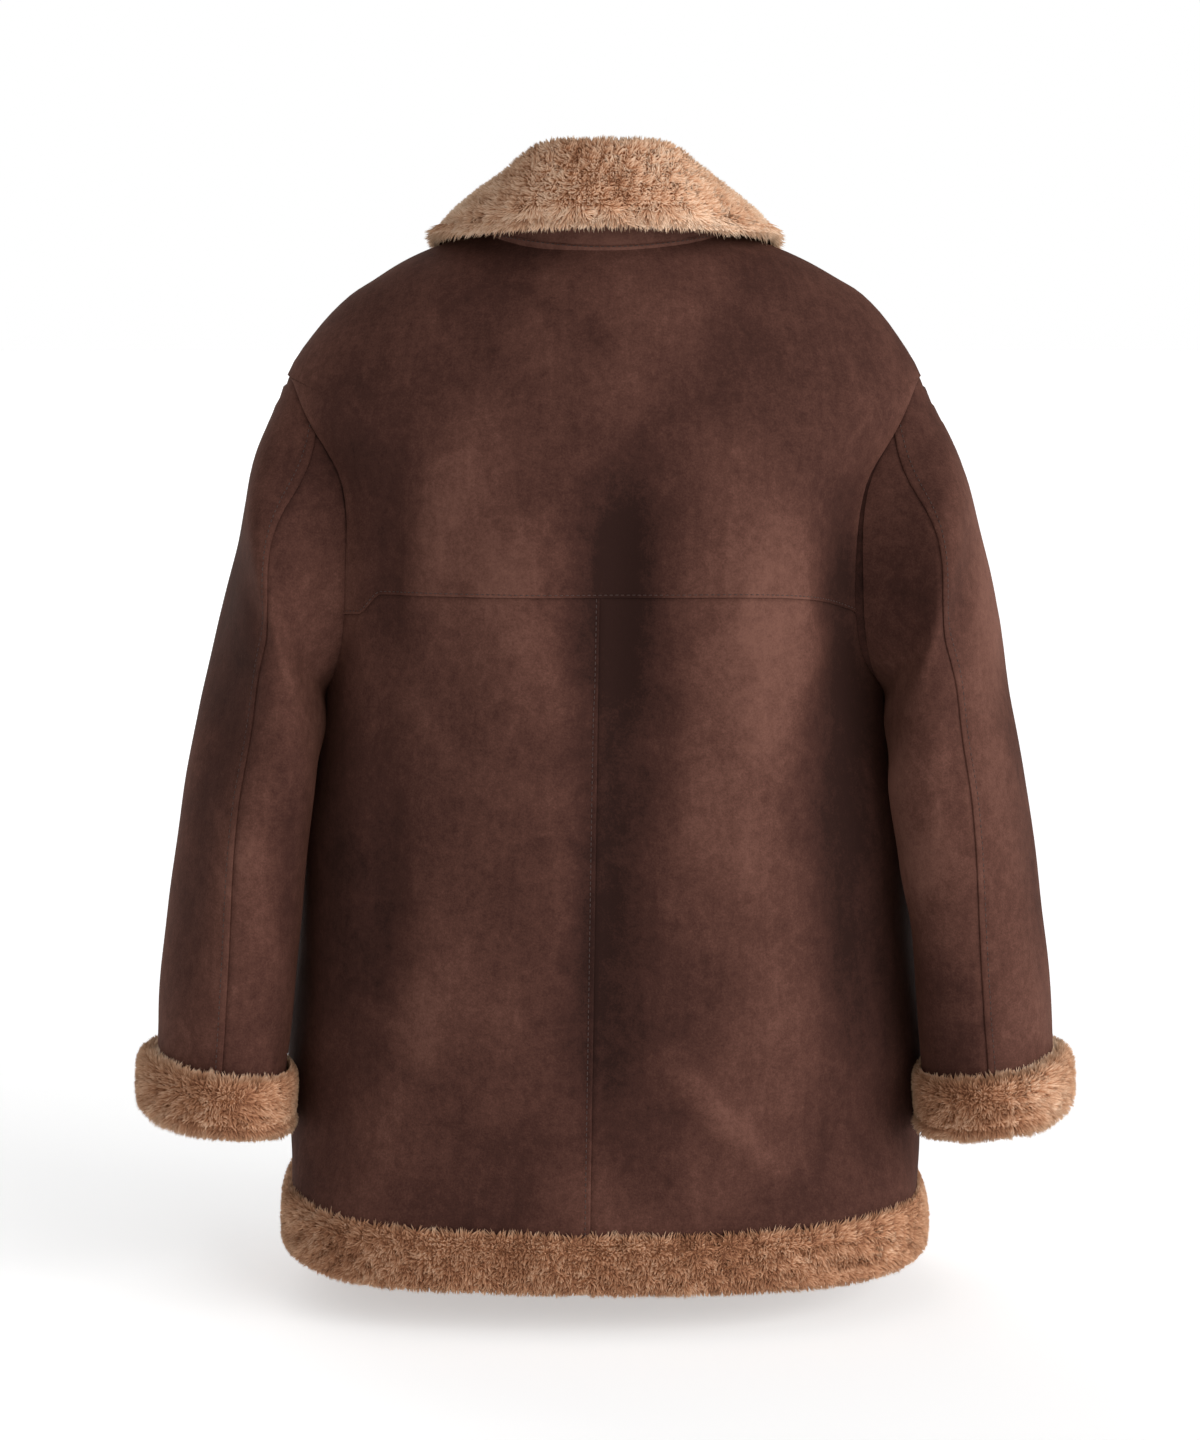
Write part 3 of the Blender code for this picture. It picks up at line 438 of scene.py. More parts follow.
def body_form(angle, down):
    """A point of the plain body form, before its folds."""
    y, x = superellipse(angle, torso_value("square", down))
    side_z = torso_value("side_z", down)
    side_y = torso_value("side_y", down)
    behind = y >= 0
    middle_y = np.where(behind, torso_value("back_y", down), torso_value("front_y", down))
    middle_z = np.where(behind, torso_value("back_z", down), torso_value("front_z", down))
    z = side_z + (middle_z - side_z) * np.cos(angle) ** 2
    y = side_y + (middle_y - side_y) * np.abs(y)
    return np.stack([x * torso_value("half_width", down), y, z], axis=-1)


def body_normal(angle, down):
    """Outward direction of the plain body form."""
    return facing(body_form, angle, down, 1e-4, 1e-4)


print("centre back length:", round(HEM, 3))

# %% [markdown]
# ## Folds and creases
#
# Thick sheepskin doesn't crumple. It hangs in a few broad, soft folds, with some shorter creases
# where it turns. A cloth simulation gives folds that nobody chose, so these are listed one by one, each
# as a line with a width and a height: below zero for a trough. The first table is also in the
# solids, and the second adds the finer ones.

# %% Folds and creases
FOLD_COLUMNS = "face top_x top_z bottom_x bottom_z half_width height"
FOLDS = table(
    FOLD_COLUMNS,
    ("back_hollow",      1, -0.016, -0.090, 0.002, -0.660, 0.036, -0.0100),
    ("left_ridge",       1, 0.066, -0.150, 0.080, -0.520, 0.034, 0.0040),
    ("right_ridge",      1, -0.104, -0.140, -0.112, -0.580, 0.034, 0.0070),
    ("left_valley",      1, 0.158, -0.100, 0.168, -0.600, 0.020, -0.0045),
    ("right_valley",     1, -0.178, -0.110, -0.190, -0.640, 0.024, -0.0060),
    ("hem_flare_left",   1, 0.120, -0.470, 0.150, -0.760, 0.040, 0.0040),
    ("hem_crease_right", 1, -0.020, -0.580, -0.150, -0.720, 0.020, 0.0030),
    ("chest_left",      -1, 0.105, -0.200, 0.120, -0.620, 0.034, 0.0060),
    ("chest_right",     -1, -0.100, -0.190, -0.115, -0.560, 0.036, 0.0050),
    ("front_left_dip",  -1, 0.160, -0.260, 0.175, -0.640, 0.022, -0.0050),
    ("front_right_dip", -1, -0.155, -0.240, -0.180, -0.680, 0.022, -0.0055),
)
FOLD_FADE = 0.3           # share of a fold's length over which it fades at either end
FOLD_SIDE = 0.06          # folds of one face are gone this far from it, at the sides
# Besides their form, the fine creases count twice in the suede's painted shade and light, and the ones named
# for shade or light are there mostly for that.
CREASES = table(
    FOLD_COLUMNS,
    ("hollow_core",        1, -0.016, -0.150, -0.010, -0.400, 0.016, -0.0022),
    ("hollow_low",         1, 0.004, -0.380, 0.004, -0.720, 0.020, -0.0020),
    ("ridge_left_edge",    1, 0.040, -0.260, 0.030, -0.600, 0.012, 0.0012),
    ("ridge_right_edge",   1, -0.062, -0.200, -0.066, -0.520, 0.016, 0.0016),
    ("hip_crease",         1, -0.028, -0.590, -0.150, -0.718, 0.011, 0.0018),
    ("hip_crease_under",   1, -0.030, -0.622, -0.130, -0.730, 0.012, -0.0014),
    ("blade_left",         1, 0.110, -0.150, 0.150, -0.290, 0.022, 0.0016),
    ("blade_right",        1, -0.130, -0.180, -0.160, -0.330, 0.020, 0.0018),
    ("drag_left",          1, 0.178, -0.290, 0.090, -0.420, 0.016, 0.0014),
    ("drag_right",         1, -0.176, -0.280, -0.100, -0.400, 0.015, 0.0014),
    ("seat_left",          1, 0.195, -0.560, 0.100, -0.640, 0.018, 0.0012),
    ("side_shade_right",   1, -0.186, -0.120, -0.194, -0.680, 0.030, -0.0031),
    ("side_shade_left",    1, 0.172, -0.300, 0.178, -0.720, 0.020, -0.0010),
    ("side_dark_left",     1, 0.204, -0.260, 0.206, -0.760, 0.014, -0.0016),
    ("low_light_right",    1, -0.108, -0.360, -0.118, -0.640, 0.034, 0.0012),
    ("low_shade_left",     1, 0.100, -0.560, 0.130, -0.820, 0.050, -0.0028),
    ("hem_pull_left",      1, 0.060, -0.650, 0.066, -0.750, 0.014, -0.0010),
    ("hem_pull_right",     1, -0.160, -0.640, -0.170, -0.750, 0.014, -0.0012),
    ("front_drag_left",   -1, 0.180, -0.290, 0.080, -0.400, 0.016, 0.0014),
    ("front_drag_right",  -1, -0.180, -0.280, -0.080, -0.420, 0.018, 0.0016),
    ("front_hip_left",    -1, 0.070, -0.560, 0.170, -0.690, 0.015, 0.0015),
    ("front_hip_right",   -1, -0.060, -0.520, -0.150, -0.600, 0.014, 0.0013),
    ("button_pull_left",  -1, 0.030, -0.340, 0.110, -0.365, 0.012, -0.0012),
    ("button_pull_right", -1, -0.034, -0.475, -0.110, -0.500, 0.013, -0.0012),
)
WAVES = (
    # length of the wave in metres, height in metres, and its lean in x, y and z
    (0.190, 0.0010, 0.8, 0.3, 0.5),
    (0.131, 0.0008, -0.7, 0.6, 0.4),
    (0.083, 0.0004, 0.9, -0.5, 0.3),
    (0.057, 0.0002, 0.4, 0.8, -0.6),
)


def fold_height(points, folds):
    """How far the folds of a table raise or lower the cloth at these points."""
    x, y, z = points[..., 0], points[..., 1], points[..., 2]
    total = np.zeros(x.shape)
    for fold in folds:
        along = (fold["top_z"] - z) / (fold["top_z"] - fold["bottom_z"])
        line = fold["top_x"] + (fold["bottom_x"] - fold["top_x"]) * along
        across = hump(x - line, fold["half_width"])
        total += fold["height"] * across * fading(along, FOLD_FADE) * ease(y * fold["face"] / FOLD_SIDE)
    return total


def waviness(points):
    """The low, uneven waves of a skin that was never quite flat."""
    total = np.zeros(points.shape[:-1])
    for length, height, *lean in WAVES:
        total += height * np.sin(points @ np.array(lean) * (2 * np.pi / length) + 40 * length)
    return total


def body(angle, down):
    """A point of the coat's outer face, with its broad folds."""
    form = body_form(angle, down)
    return form + body_normal(angle, down) * fold_height(form, FOLDS)[..., None]


print("folds:", len(FOLDS), "broad and", len(CREASES), "fine")

# %% [markdown]
# ## The cutting lines
#
# A maker cuts the body in five panels: a yoke, two backs and two fronts. Their edges are lines on
# the body's surface: the armhole, the yoke seam with its small jog, the centre back seam and the
# front edges.

# %% Seams on the body
ARMHOLE_BACK = 27.0       # degrees that the armhole is cut in from the side, at the back
ARMHOLE_FRONT = 31.0      # and at the front
ARMHOLE_ROUND = (0.5, 0.8)          # how full its curve is, above and below its middle
YOKE_DROP_LEFT = 0.008    # the yoke seam drops this much to the armhole on the left
YOKE_JOG = 0.0135         # with a jog of this height
YOKE_JOG_FROM = 0.80      # that starts at this share of the way across
YOKE_JOG_WIDTH = 0.10     # and takes up this share
YOKE_DROP_RIGHT = 0.021
CENTRE_SEAM_X = (0.004, 0.011)      # the centre back seam leans a little to the left going down


def armhole(turn):
    """Angle and distance down of the armhole; turn is 0 at the shoulder, 90 at the back."""
    cut = np.where(np.sin(turn) >= 0, -np.radians(ARMHOLE_BACK), np.radians(ARMHOLE_FRONT))
    power = np.where(np.cos(turn) > 0, *ARMHOLE_ROUND)
    angle = np.pi / 2 + cut * np.abs(np.sin(turn)) ** power
    down = ARMHOLE_MIDDLE - ARMHOLE_HALF * np.cos(turn)
    return angle, down


def edge_turn(down):
    """The armhole's turn at a distance down, on the back half."""
    return np.arccos(np.clip((ARMHOLE_MIDDLE - down) / ARMHOLE_HALF, -1, 1))


def back_edge(down):
    """Angle at which a back panel ends: shoulder seam, armhole or side seam."""
    return armhole(edge_turn(down))[0]


def front_edge(down):
    return armhole(-edge_turn(down))[0]


def yoke_drop(across, side):
    """How far the yoke seam drops towards the armhole, with a small jog on the left."""
    if side > 0:
        return YOKE_DROP_LEFT * across ** 2 + YOKE_JOG * ease((across - YOKE_JOG_FROM) / YOKE_JOG_WIDTH)
    return YOKE_DROP_RIGHT * across ** 3


def drop_share(down):
    """The yoke seam's drop fades out up to the shoulder tip and down to the underarm."""
    above = ease((down - TIP) / (YOKE - TIP))
    below = ease((UNDERARM - down) / (UNDERARM - YOKE))
    return np.where(down < YOKE, above, below)


def lowered(row, across, side):
    """Distance down of a row of the back, at a share of the way across to its edge."""
    return row + yoke_drop(across, side) * drop_share(row)


def angle_at(x, down):
    """Angle from the centre line at which x lies."""
    return np.arcsin(x / torso_value("half_width", down))


def centre_seam(down):
    """Angle of the centre back seam."""
    share = np.clip((down - YOKE) / (HEM - YOKE), 0, 1)
    return angle_at(CENTRE_SEAM_X[0] + (CENTRE_SEAM_X[1] - CENTRE_SEAM_X[0]) * share, down)


print("yoke seam", round(YOKE, 3), "down the centre back, underarm", round(UNDERARM, 3))

# %% [markdown]
# ## Suede
#
# Suede is the skin side of the hide, buffed until its fibres stand up as a nap of about a tenth of a
# millimetre. It has no gloss, and it glows a little at a grazing angle, which is the sheen of the
# standing fibres. A hand that strokes it leaves lighter and darker patches. A photograph of real
# suede would give all this at once, but a few noise patterns at their real sizes do it too: clouds a
# hand wide, brush marks a finger long, and a fine grain. The real grain is too fine for the picture,
# so it is drawn about 1 mm wide.

# %% Suede
CLOUD = 0.110             # width of a patch where the nap lies one way
PATCH = 0.030             # smaller patches within it
MOTTLE = 0.0065           # fingertip-sized spots
BRUSH_MARK = (0.008, 0.045)          # width and length of a brush mark
GRAIN = 0.0015            # the real nap is about 0.0001 m
NAP_BUMP = 0.0005


def noise(tree, place, size, detail, roughness=0.5, distortion=0.0):
    """Noise whose features have a real size in metres."""
    made = add(tree, "ShaderNodeTexNoise", {"Vector": place, "Scale": 1 / size, "Detail": detail,
                                            "Roughness": roughness, "Distortion": distortion})
    return made.outputs["Fac"]


def attribute(tree, name):
    return add(tree, "ShaderNodeAttribute", attribute_name=name).outputs["Fac"]


def mixed(tree, start, parts):
    """A start value plus each part times its weight."""
    total = start
    for value, weight in parts:
        inputs = {0: value, 1: weight, 2: total}
        total = add(tree, "ShaderNodeMath", inputs, operation="MULTIPLY_ADD").outputs[0]
    return total


def suede(name, stops):
    """Brushed suede; stops are its colours from dark to pale, for its nap and for the painted shade and light
    of its folds and seams.
    """
    material, tree, shader = new_material(name, {
        "Roughness": 0.92, "Specular IOR Level": 0.11, "Sheen Weight": 0.14, "Sheen Roughness": 0.50,
        "Sheen Tint": linear("#A4694C")})
    place = add(tree, "ShaderNodeTexCoord").outputs["Object"]
    cut = add(tree, "ShaderNodeUVMap", uv_map="cut").outputs["UV"]
    width, length = BRUSH_MARK
    brushed = add(tree, "ShaderNodeMapping", {"Vector": cut, "Rotation": (0, 0, 0.15),
                                              "Scale": (1 / width, 1 / length, 1)}).outputs["Vector"]
    clouds = noise(tree, place, CLOUD, 3.0, 0.5, 0.5)
    patches = noise(tree, place, PATCH, 5.0, 0.62, 0.8)
    marks = noise(tree, brushed, 1.0, 3.0, 0.6, 0.6)
    mottle = noise(tree, place, MOTTLE, 3.0, 0.6, 0.4)
    grain = noise(tree, place, GRAIN, 3.0, 0.7)
    # Painted shade and light in the tone: the height attribute darkens the troughs of the folds and pales
    # their ridges, and the seams' relief does the same along the seams, partly as wear of their raised edges.
    tone = mixed(tree, -0.62, ((clouds, 0.48), (patches, 0.48), (mottle, 0.42), (marks, 0.22), (grain, 0.62),
                               (attribute(tree, "height"), 0.42), (attribute(tree, "relief_shade_and_wear"), 0.12)))
    relief = mixed(tree, 0.0, ((grain, 0.8), (mottle, 0.5), (patches, 0.4)))
    paint(tree, shader, tone, stops, relief, 0.55, NAP_BUMP)
    return material


# The darkest stop is reached in the painted shade of the deepest troughs.
SUEDE_STOPS = ((0.00, "#24130F"), (0.35, "#3A221C"), (0.60, "#4B2F27"), (1.00, "#65443A"))
brushed_suede = suede("brushed_suede", SUEDE_STOPS)
print("suede shader nodes:", len(brushed_suede.node_tree.nodes))

# %% [markdown]
# ## Wool
#
# The wool is sheared to about 9 mm. Each lock is a small bundle of crimped fibres that lean together
# and end in a point. Light reaches the tips and hardly the roots, so a wool pile is pale on top and
# dark between the locks. Each lock here carries two numbers, how far up a point is and how pale the
# whole lock is, and the shader turns them into colour: the dark roots, and the darker locks in the
# pile's cracks, are painted shade as well as the shadow that the locks cast. The fibres themselves
# are too fine to model, so fine noise along the lock stands for them.

# %% Wool
CURL = 0.0032             # width of a curl in the wool under the locks
FIBRE = 0.0006            # the real fibre is about 0.00003 m
WOOL_STOPS = ((0.00, "#7A4D36"), (0.35, "#A87656"), (0.65, "#CA9D7D"), (1.00, "#EACAAE"))


def wool(name, stops):
    """Wool locks, with painted shade at the root and pale at the tip."""
    material, tree, shader = new_material(name, {
        "Roughness": 0.85, "Specular IOR Level": 0.20, "Sheen Weight": 0.25, "Sheen Roughness": 0.5,
        "Sheen Tint": linear("#E8C9A4")})
    place = add(tree, "ShaderNodeTexCoord").outputs["Object"]
    fibre = noise(tree, place, FIBRE, 2.0)
    tone = mixed(tree, -0.18, ((attribute(tree, "rise"), 0.50), (attribute(tree, "tone"), 0.70),
                               (fibre, 0.20)))
    paint(tree, shader, tone, stops)
    return material


def fleece(name, stops):
    """The wool's dense underside, or a lining seen from further off: curls, without single locks."""
    material, tree, shader = new_material(name, {
        "Roughness": 0.95, "Specular IOR Level": 0.10, "Sheen Weight": 0.30, "Sheen Tint": linear("#D9B48C")})
    place = add(tree, "ShaderNodeTexCoord").outputs["Object"]
    curls = noise(tree, place, CURL, 3.0, 0.6, 1.2)
    clumps = noise(tree, place, CURL * 6, 3.0, 0.5, 0.8)
    tone = mixed(tree, -0.55, ((curls, 1.4), (clumps, 0.7)))
    paint(tree, shader, tone, stops, curls, 0.8, CURL * 0.6)
    return material


sheared_wool = wool("sheared_wool", WOOL_STOPS)
wool_roots = fleece("wool_roots", ((0.0, "#7C5239"), (0.5, "#99694A"), (1.0, "#AE8160")))
wool_lining = fleece("clipped_wool_lining", ((0.0, "#6B4529"), (0.5, "#A87D54"), (1.0, "#CBA47A")))
print("wool materials:", sheared_wool.name, wool_roots.name, wool_lining.name)

# %% [markdown]
# ## Sheepskin panels
#
# A panel is a wall with two faces: suede outside, clipped wool inside. Its grid is fine, and finest
# along the seams, where the form changes within a millimetre. Blender's Solidify modifier could give
# it its thickness, but here the inner face has to stay smooth while the outer one has seams, so both
# are worked out.

# %% Meshes from grids
SHARP_EDGE = 55           # a wall's edge is sharp from this many degrees


def finish_piece(mesh, name, materials, stands_for=()):
    """Make an object of a mesh, on the coat's only body."""
    for material in materials:
        mesh.materials.append(material)
    piece = bpy.data.objects.new(name, mesh)
    SCENE.collection.objects.link(piece)
    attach(piece, "root")
    if stands_for:
        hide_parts(*stands_for)
    return piece


def set_values(mesh, name, numbers):
    """Store a number for each point, for the shaders to read."""
    layer = mesh.attributes.new(name, "FLOAT", "POINT")
    layer.data.foreach_set("value", np.asarray(numbers, np.float32))


def set_cut(mesh, outer, columns):
    """Lay a wall flat: its map in metres, for patterns that follow the cut of the skin."""
    across, fall = reach_along(outer.swapaxes(0, 1)).T, reach_along(outer)
    middle = across[:, across.shape[1] // 2]
    cut = np.stack([across - middle[:, None], fall], axis=-1)[:, :columns].reshape(-1, 2)
    layer = mesh.uv_layers.new(name="cut")
    corners = np.empty(len(mesh.loops), np.int64)
    mesh.loops.foreach_get("vertex_index", corners)
    layer.data.foreach_set("uv", np.tile(cut, (2, 1)).astype(np.float32)[corners].ravel())


def grid_quads(index):
    """Faces between the neighbours in a grid of point numbers."""
    corners = (index[:-1, :-1], index[:-1, 1:], index[1:, 1:], index[1:, :-1])
    return np.stack(corners, axis=-1).reshape(-1, 4)


def enclosed(points, quads):
    """Volume inside closed quads, below zero if they face inwards."""
    a, b, c, d = (points[quads[:, i]] for i in range(4))
    return ((a * np.cross(b, c)).sum() + (a * np.cross(c, d)).sum()) / 6


def two_faced(name, outer, inner, materials, stands_for=(), height=0.0, relief_shade_and_wear=0.0, closed=False):
    """A wall between two grids of the same size. Closed joins its last column to its first. Height and relief
    are stored for the suede's painted shade and light.
    """
    rows, columns = outer.shape[:2]
    points = np.concatenate([outer.reshape(-1, 3), inner.reshape(-1, 3)])
    count = rows * columns
    index = np.arange(count).reshape(rows, columns)
    if closed:
        outer, index = joined(outer, 1), joined(index, 1)
    face = grid_quads(index)
    borders = [index[0], index[-1][::-1]]
    if not closed:
        borders += [index[:, -1], index[::-1, 0]]
    rim = np.concatenate([np.stack([b[1:], b[:-1], b[:-1] + count, b[1:] + count], -1) for b in borders])
    quads = np.concatenate([face, face[:, ::-1] + count, rim])
    if enclosed(points, quads) < 0:
        quads = quads[:, ::-1]
    mesh = bpy.data.meshes.new(name)
    mesh.from_pydata(points.tolist(), [], quads.tolist())
    set_cut(mesh, outer, columns)
    for key, numbers in (("height", height), ("relief_shade_and_wear", relief_shade_and_wear)):
        set_values(mesh, key, np.tile(np.broadcast_to(numbers, (rows, columns)).ravel(), 2))
    slots = np.zeros(len(quads), np.int32)
    slots[len(face):2 * len(face)] = len(materials) - 1
    mesh.polygons.foreach_set("material_index", slots)
    mesh.shade_smooth()
    mesh.set_sharp_from_angle(angle=math.radians(SHARP_EDGE))
    print(name, len(quads) * 2, "triangles")
    return finish_piece(mesh, name, materials, stands_for)


print("a grid of 3 by 3 points has", len(grid_quads(np.arange(9).reshape(3, 3))), "faces")

# %% [markdown]
# ## How a seam shapes the skin
#
# Thick skin is lapped at a seam: one panel's edge lies on the other, is sewn down, and puffs up
# beside its stitches. The panel below is pressed in. Each kind of seam has a small profile, the
# height of the skin against its distance from the seam line in millimetres. It is real form and
# not bump, because it catches the light at the outline too.

# %% Seam profiles
MM = 0.001
SEAM_STEPS = np.array((0, 0.5, 1.2, 2.0, 2.8, 4.0, 5.5, 8.0, 11.0, 15.0)) * MM
PITCH = 0.0062            # spacing of a panel's points away from its seams
LAPS = {
    "armhole_over": ((0, 0.3), (0.7, 0.9), (3, 1.1), (7, 0.8), (12, 0.1), (17, 0)),
    "armhole_under": ((0, -0.8), (1.2, -0.5), (3, -0.2), (7, 0), (10, 0)),
    "yoke_over": ((0, 0.0), (0.5, 0.35), (1.2, 0.4), (2.0, 0.05), (2.8, 0.2), (5.5, 0.05), (9, 0)),
    "yoke_under": ((0, -1.1), (1.2, -0.7), (2.8, -0.2), (6, 0)),
    "centre_over": ((0, -0.1), (0.5, 0.35), (1.6, 0.4), (2.8, 0.0), (4, 0.15), (8, 0)),
    "centre_under": ((0, -0.9), (1.2, -0.5), (4, 0)),
    "sleeve_over": ((0, 0.0), (0.5, 0.35), (2.8, 0.5), (5.5, 0.0), (7, 0.2), (12, 0)),
    "sleeve_under": ((0, -1.0), (1.2, -0.6), (4, 0)),
    "plain": ((0, -0.8), (0.6, -0.3), (2, 0.1), (5, 0.05), (8, 0)),
    "cord": ((0, -0.9), (0.6, 0.5), (1.5, 0.9), (2.4, 0.4), (3.2, -0.5), (4.2, 0.0), (8, 0.2), (12, 0)),
    "turned_edge": ((0, -0.5), (0.6, 0.2), (3, 0.4), (5.5, 0.0), (7, 0.2), (11, 0)),
}


def spaced(start, end, pitch, seam_at_start=True, seam_at_end=True):
    """Places from start to end, close together near a seam."""
    first = start + SEAM_STEPS if seam_at_start else np.array([start])
    last = end - SEAM_STEPS[::-1] if seam_at_end else np.array([end])
    count = max(round((last[0] - first[-1]) / pitch), 1)
    return np.concatenate([first, np.linspace(first[-1], last[0], count + 1)[1:-1], last])


def distance_to(points, line):
    """Distance from each point of a grid to the nearest place on a line of points."""
    start = line[:-1]
    way = np.diff(line, axis=0)
    length = (way ** 2).sum(-1)
    nearest = []
    for row in points:
        gap = row[:, None] - start
        share = np.clip((gap * way).sum(-1) / length, 0, 1)
        gap = gap - share[..., None] * way
        nearest.append(np.sqrt((gap ** 2).sum(-1).min(-1)))
    return np.array(nearest)


def seam_height(points, laps):
    """How far the seams raise or press in the skin; laps are (line, name of a profile)."""
    total = np.zeros(points.shape[:-1])
    for line, name in laps:
        profile = np.array(LAPS[name]) * MM
        total += np.interp(distance_to(points, line), profile[:, 0], profile[:, 1])
    return total


print("seam profiles:", ", ".join(LAPS))

# %% [markdown]
# ## Yoke, backs and fronts
#
# Five panels make the body. Their rows follow the armhole, so that the rows crowd together where it
# turns. Every panel is moved by the same folds, creases and waves, so neighbours still meet, and
# each one then gets the laps of its own seams.

# %% Lines of the body's seams
ARMHOLE_MARKS = 80
HEIGHT_FOR_PAINTED_SHADE = 0.010   # a fold this high or deep counts fully in the suede's painted light or shade

# The sides roll out to the sleeves in two places, given as height on the coat, width and height of
# the roll. Below the sleeves the sides are in their shade, and that shade is painted darker into the
# suede. Both keep to the part that faces sideways: the higher its power, the narrower it is.
SIDE_ROLLS = ((-0.350, 0.022, 0.0036), (-0.630, 0.062, 0.0036))
ROLL_POWER = 8
SLEEVE_SHADE = -0.0060
SLEEVE_SHADE_POWER = 5
SLEEVE_SHADE_TOP = -0.27           # height on the coat at which the painted shade starts
SLEEVE_SHADE_FADE = 0.06


def lifted(angle, down):
    """The body's face with its broad folds, creases and waves, its plain outward direction, and its painted
    shade: darker in troughs and on the sides below the sleeves, paler on ridges.
    """
    form = body_form(angle, down)
    folds = fold_height(form, FOLDS)
    fine = fold_height(form, CREASES) + waviness(form)
    normal = body_normal(angle, down)
    z = form[..., 2]
    sideways = np.abs(normal[..., 0])
    rolls = sum(roll * hump(z - middle, width) for middle, width, roll in SIDE_ROLLS)
    shade = folds + 2 * fine + SLEEVE_SHADE * sideways ** SLEEVE_SHADE_POWER * ease((SLEEVE_SHADE_TOP - z) / SLEEVE_SHADE_FADE)
    return form + normal * (folds + fine + rolls * sideways ** ROLL_POWER)[..., None], normal, shade


def armhole_line(side, behind):
    turn = np.linspace(0, np.pi, ARMHOLE_MARKS) * (1 if behind else -1)
    angle, down = armhole(turn)
    return lifted(side * angle, down)[0]


def yoke_line(side):
    """The yoke seam on one side."""
    share = np.linspace(0, 1, ARMHOLE_MARKS)
    low = lowered(np.full(share.shape, YOKE), share, side)
    return lifted(side * share * back_edge(low), low)[0]


def side_line(side, start, end):
    down = np.linspace(start, end, ARMHOLE_MARKS)
    return lifted(np.full(down.shape, side * np.pi / 2), down)[0]


def centre_line():
    down = np.linspace(YOKE, HEM, ARMHOLE_MARKS)
    return lifted(centre_seam(down), down)[0]


def armhole_rows(first, last, count):
    return ARMHOLE_MIDDLE - ARMHOLE_HALF * np.cos(np.linspace(first, last, count))


ROWS_TO_TIP = spaced(0, TIP, PITCH, True, False)
ROWS_ARMHOLE = armhole_rows(0, np.pi, 46)
CLEAR = SEAM_STEPS[-1] + PITCH / 3
ROWS_YOKE = np.concatenate([ROWS_TO_TIP[:-1], ROWS_ARMHOLE[ROWS_ARMHOLE < YOKE - CLEAR],
                            YOKE - SEAM_STEPS[::-1]])
ROWS_BELOW = spaced(UNDERARM, HEM, PITCH, False, True)
ROWS_BACK = np.concatenate([YOKE + SEAM_STEPS, ROWS_ARMHOLE[ROWS_ARMHOLE > YOKE + CLEAR],
                            ROWS_BELOW[1:]])
ROWS_FRONT = np.concatenate([ROWS_TO_TIP[:-1], ROWS_ARMHOLE, ROWS_BELOW[1:]])
print("rows: yoke", len(ROWS_YOKE), "back", len(ROWS_BACK), "front", len(ROWS_FRONT))

# %% Body panels
BACK_WIDTH = 0.27         # width of one half, for spacing its columns
FRONT_WIDTH = 0.26
CLIMB_FROM = 0.062        # the left front starts to climb over the right one at this x
CLIMB_WIDTH = 0.028       # and lies on it after this much more


def sheepskin(node, face, normal, laps, tone):
    """A panel of sheepskin. Its seams shape the suede side, and leave the wool side smooth."""
    seams = seam_height(face, laps)
    outer = face + normal * seams[..., None]
    # The suede is painted by the folds' tone: painted shade in the troughs, painted light on the ridges.
    piece = two_faced(node + "_panel", outer, face - normal * WALL, (brushed_suede, wool_lining),
                      (node,), tone / HEIGHT_FOR_PAINTED_SHADE, seams / MM)
    return piece, outer, normal


def yoke_columns(shares, side):
    row, share = np.meshgrid(ROWS_YOKE, shares, indexing="ij")
    down = lowered(row, share, side)
    return side * share * back_edge(down), down


def yoke_panel():
    shares = spaced(0, BACK_WIDTH, PITCH, False) / BACK_WIDTH
    right = yoke_columns(shares[::-1], -1)
    left = yoke_columns(shares, 1)
    angle, down = (np.concatenate([right[i][:, :-1], left[i]], axis=1) for i in (0, 1))
    laps = [(armhole_line(side, True), "armhole_over") for side in SIDES]
    laps += [(side_line(side, 0, TIP), "plain") for side in SIDES]
    seam = np.concatenate([yoke_line(-1)[::-1], yoke_line(1)[1:]])
    laps.append((seam, "yoke_over"))
    face, normal, tone = lifted(angle, down)
    return sheepskin("back_yoke", face, normal, laps, tone)


def back_panel(side):
    shares = spaced(0, BACK_WIDTH, PITCH) / BACK_WIDTH
    row = ROWS_BACK[:, None]
    start = side * (centre_seam(ROWS_BACK) / back_edge(ROWS_BACK))[:, None]
    share = start + (1 - start) * shares
    down = lowered(row, share, side)
    laps = [(armhole_line(side, True), "armhole_over"), (side_line(side, UNDERARM, HEM), "plain"),
            (yoke_line(side), "yoke_under"),
            (centre_line(), "centre_over" if side > 0 else "centre_under")]
    face, normal, tone = lifted(side * share * back_edge(down), down)
    return sheepskin(f"back_{SIDES[side]}", face, normal, laps, tone)


def climb(x):
    """How far the left front stands out at x, to lie over the right one."""
    return (WALL + 2 * SEAM) * ease((CLIMB_FROM - x) / CLIMB_WIDTH)


def front_panel(side):
    """The left front climbs over the right one before the centre."""
    edge = front_edge(ROWS_FRONT)
    past = np.pi + angle_at(OVERLAP, ROWS_FRONT)
    shares = spaced(0, FRONT_WIDTH, PITCH) / FRONT_WIDTH
    angle = edge[:, None] + (past - edge)[:, None] * shares
    down = by_row(ROWS_FRONT, len(shares))
    face, normal, tone = lifted(side * angle, down)
    laps = [(armhole_line(side, False), "armhole_over"), (side_line(side, 0, TIP), "plain"),
            (side_line(side, UNDERARM, HEM), "plain")]
    if side > 0:
        face = face + normal * climb(body_form(angle, down)[..., 0])[..., None]
        low = np.linspace(0, HEM, ARMHOLE_MARKS)
        edge_line, out, _ = lifted(np.pi + angle_at(OVERLAP, low), low)
        laps.append((edge_line + out * (WALL + 2 * SEAM), "turned_edge"))
    return sheepskin(f"front_{SIDES[side]}", face, normal, laps, tone)


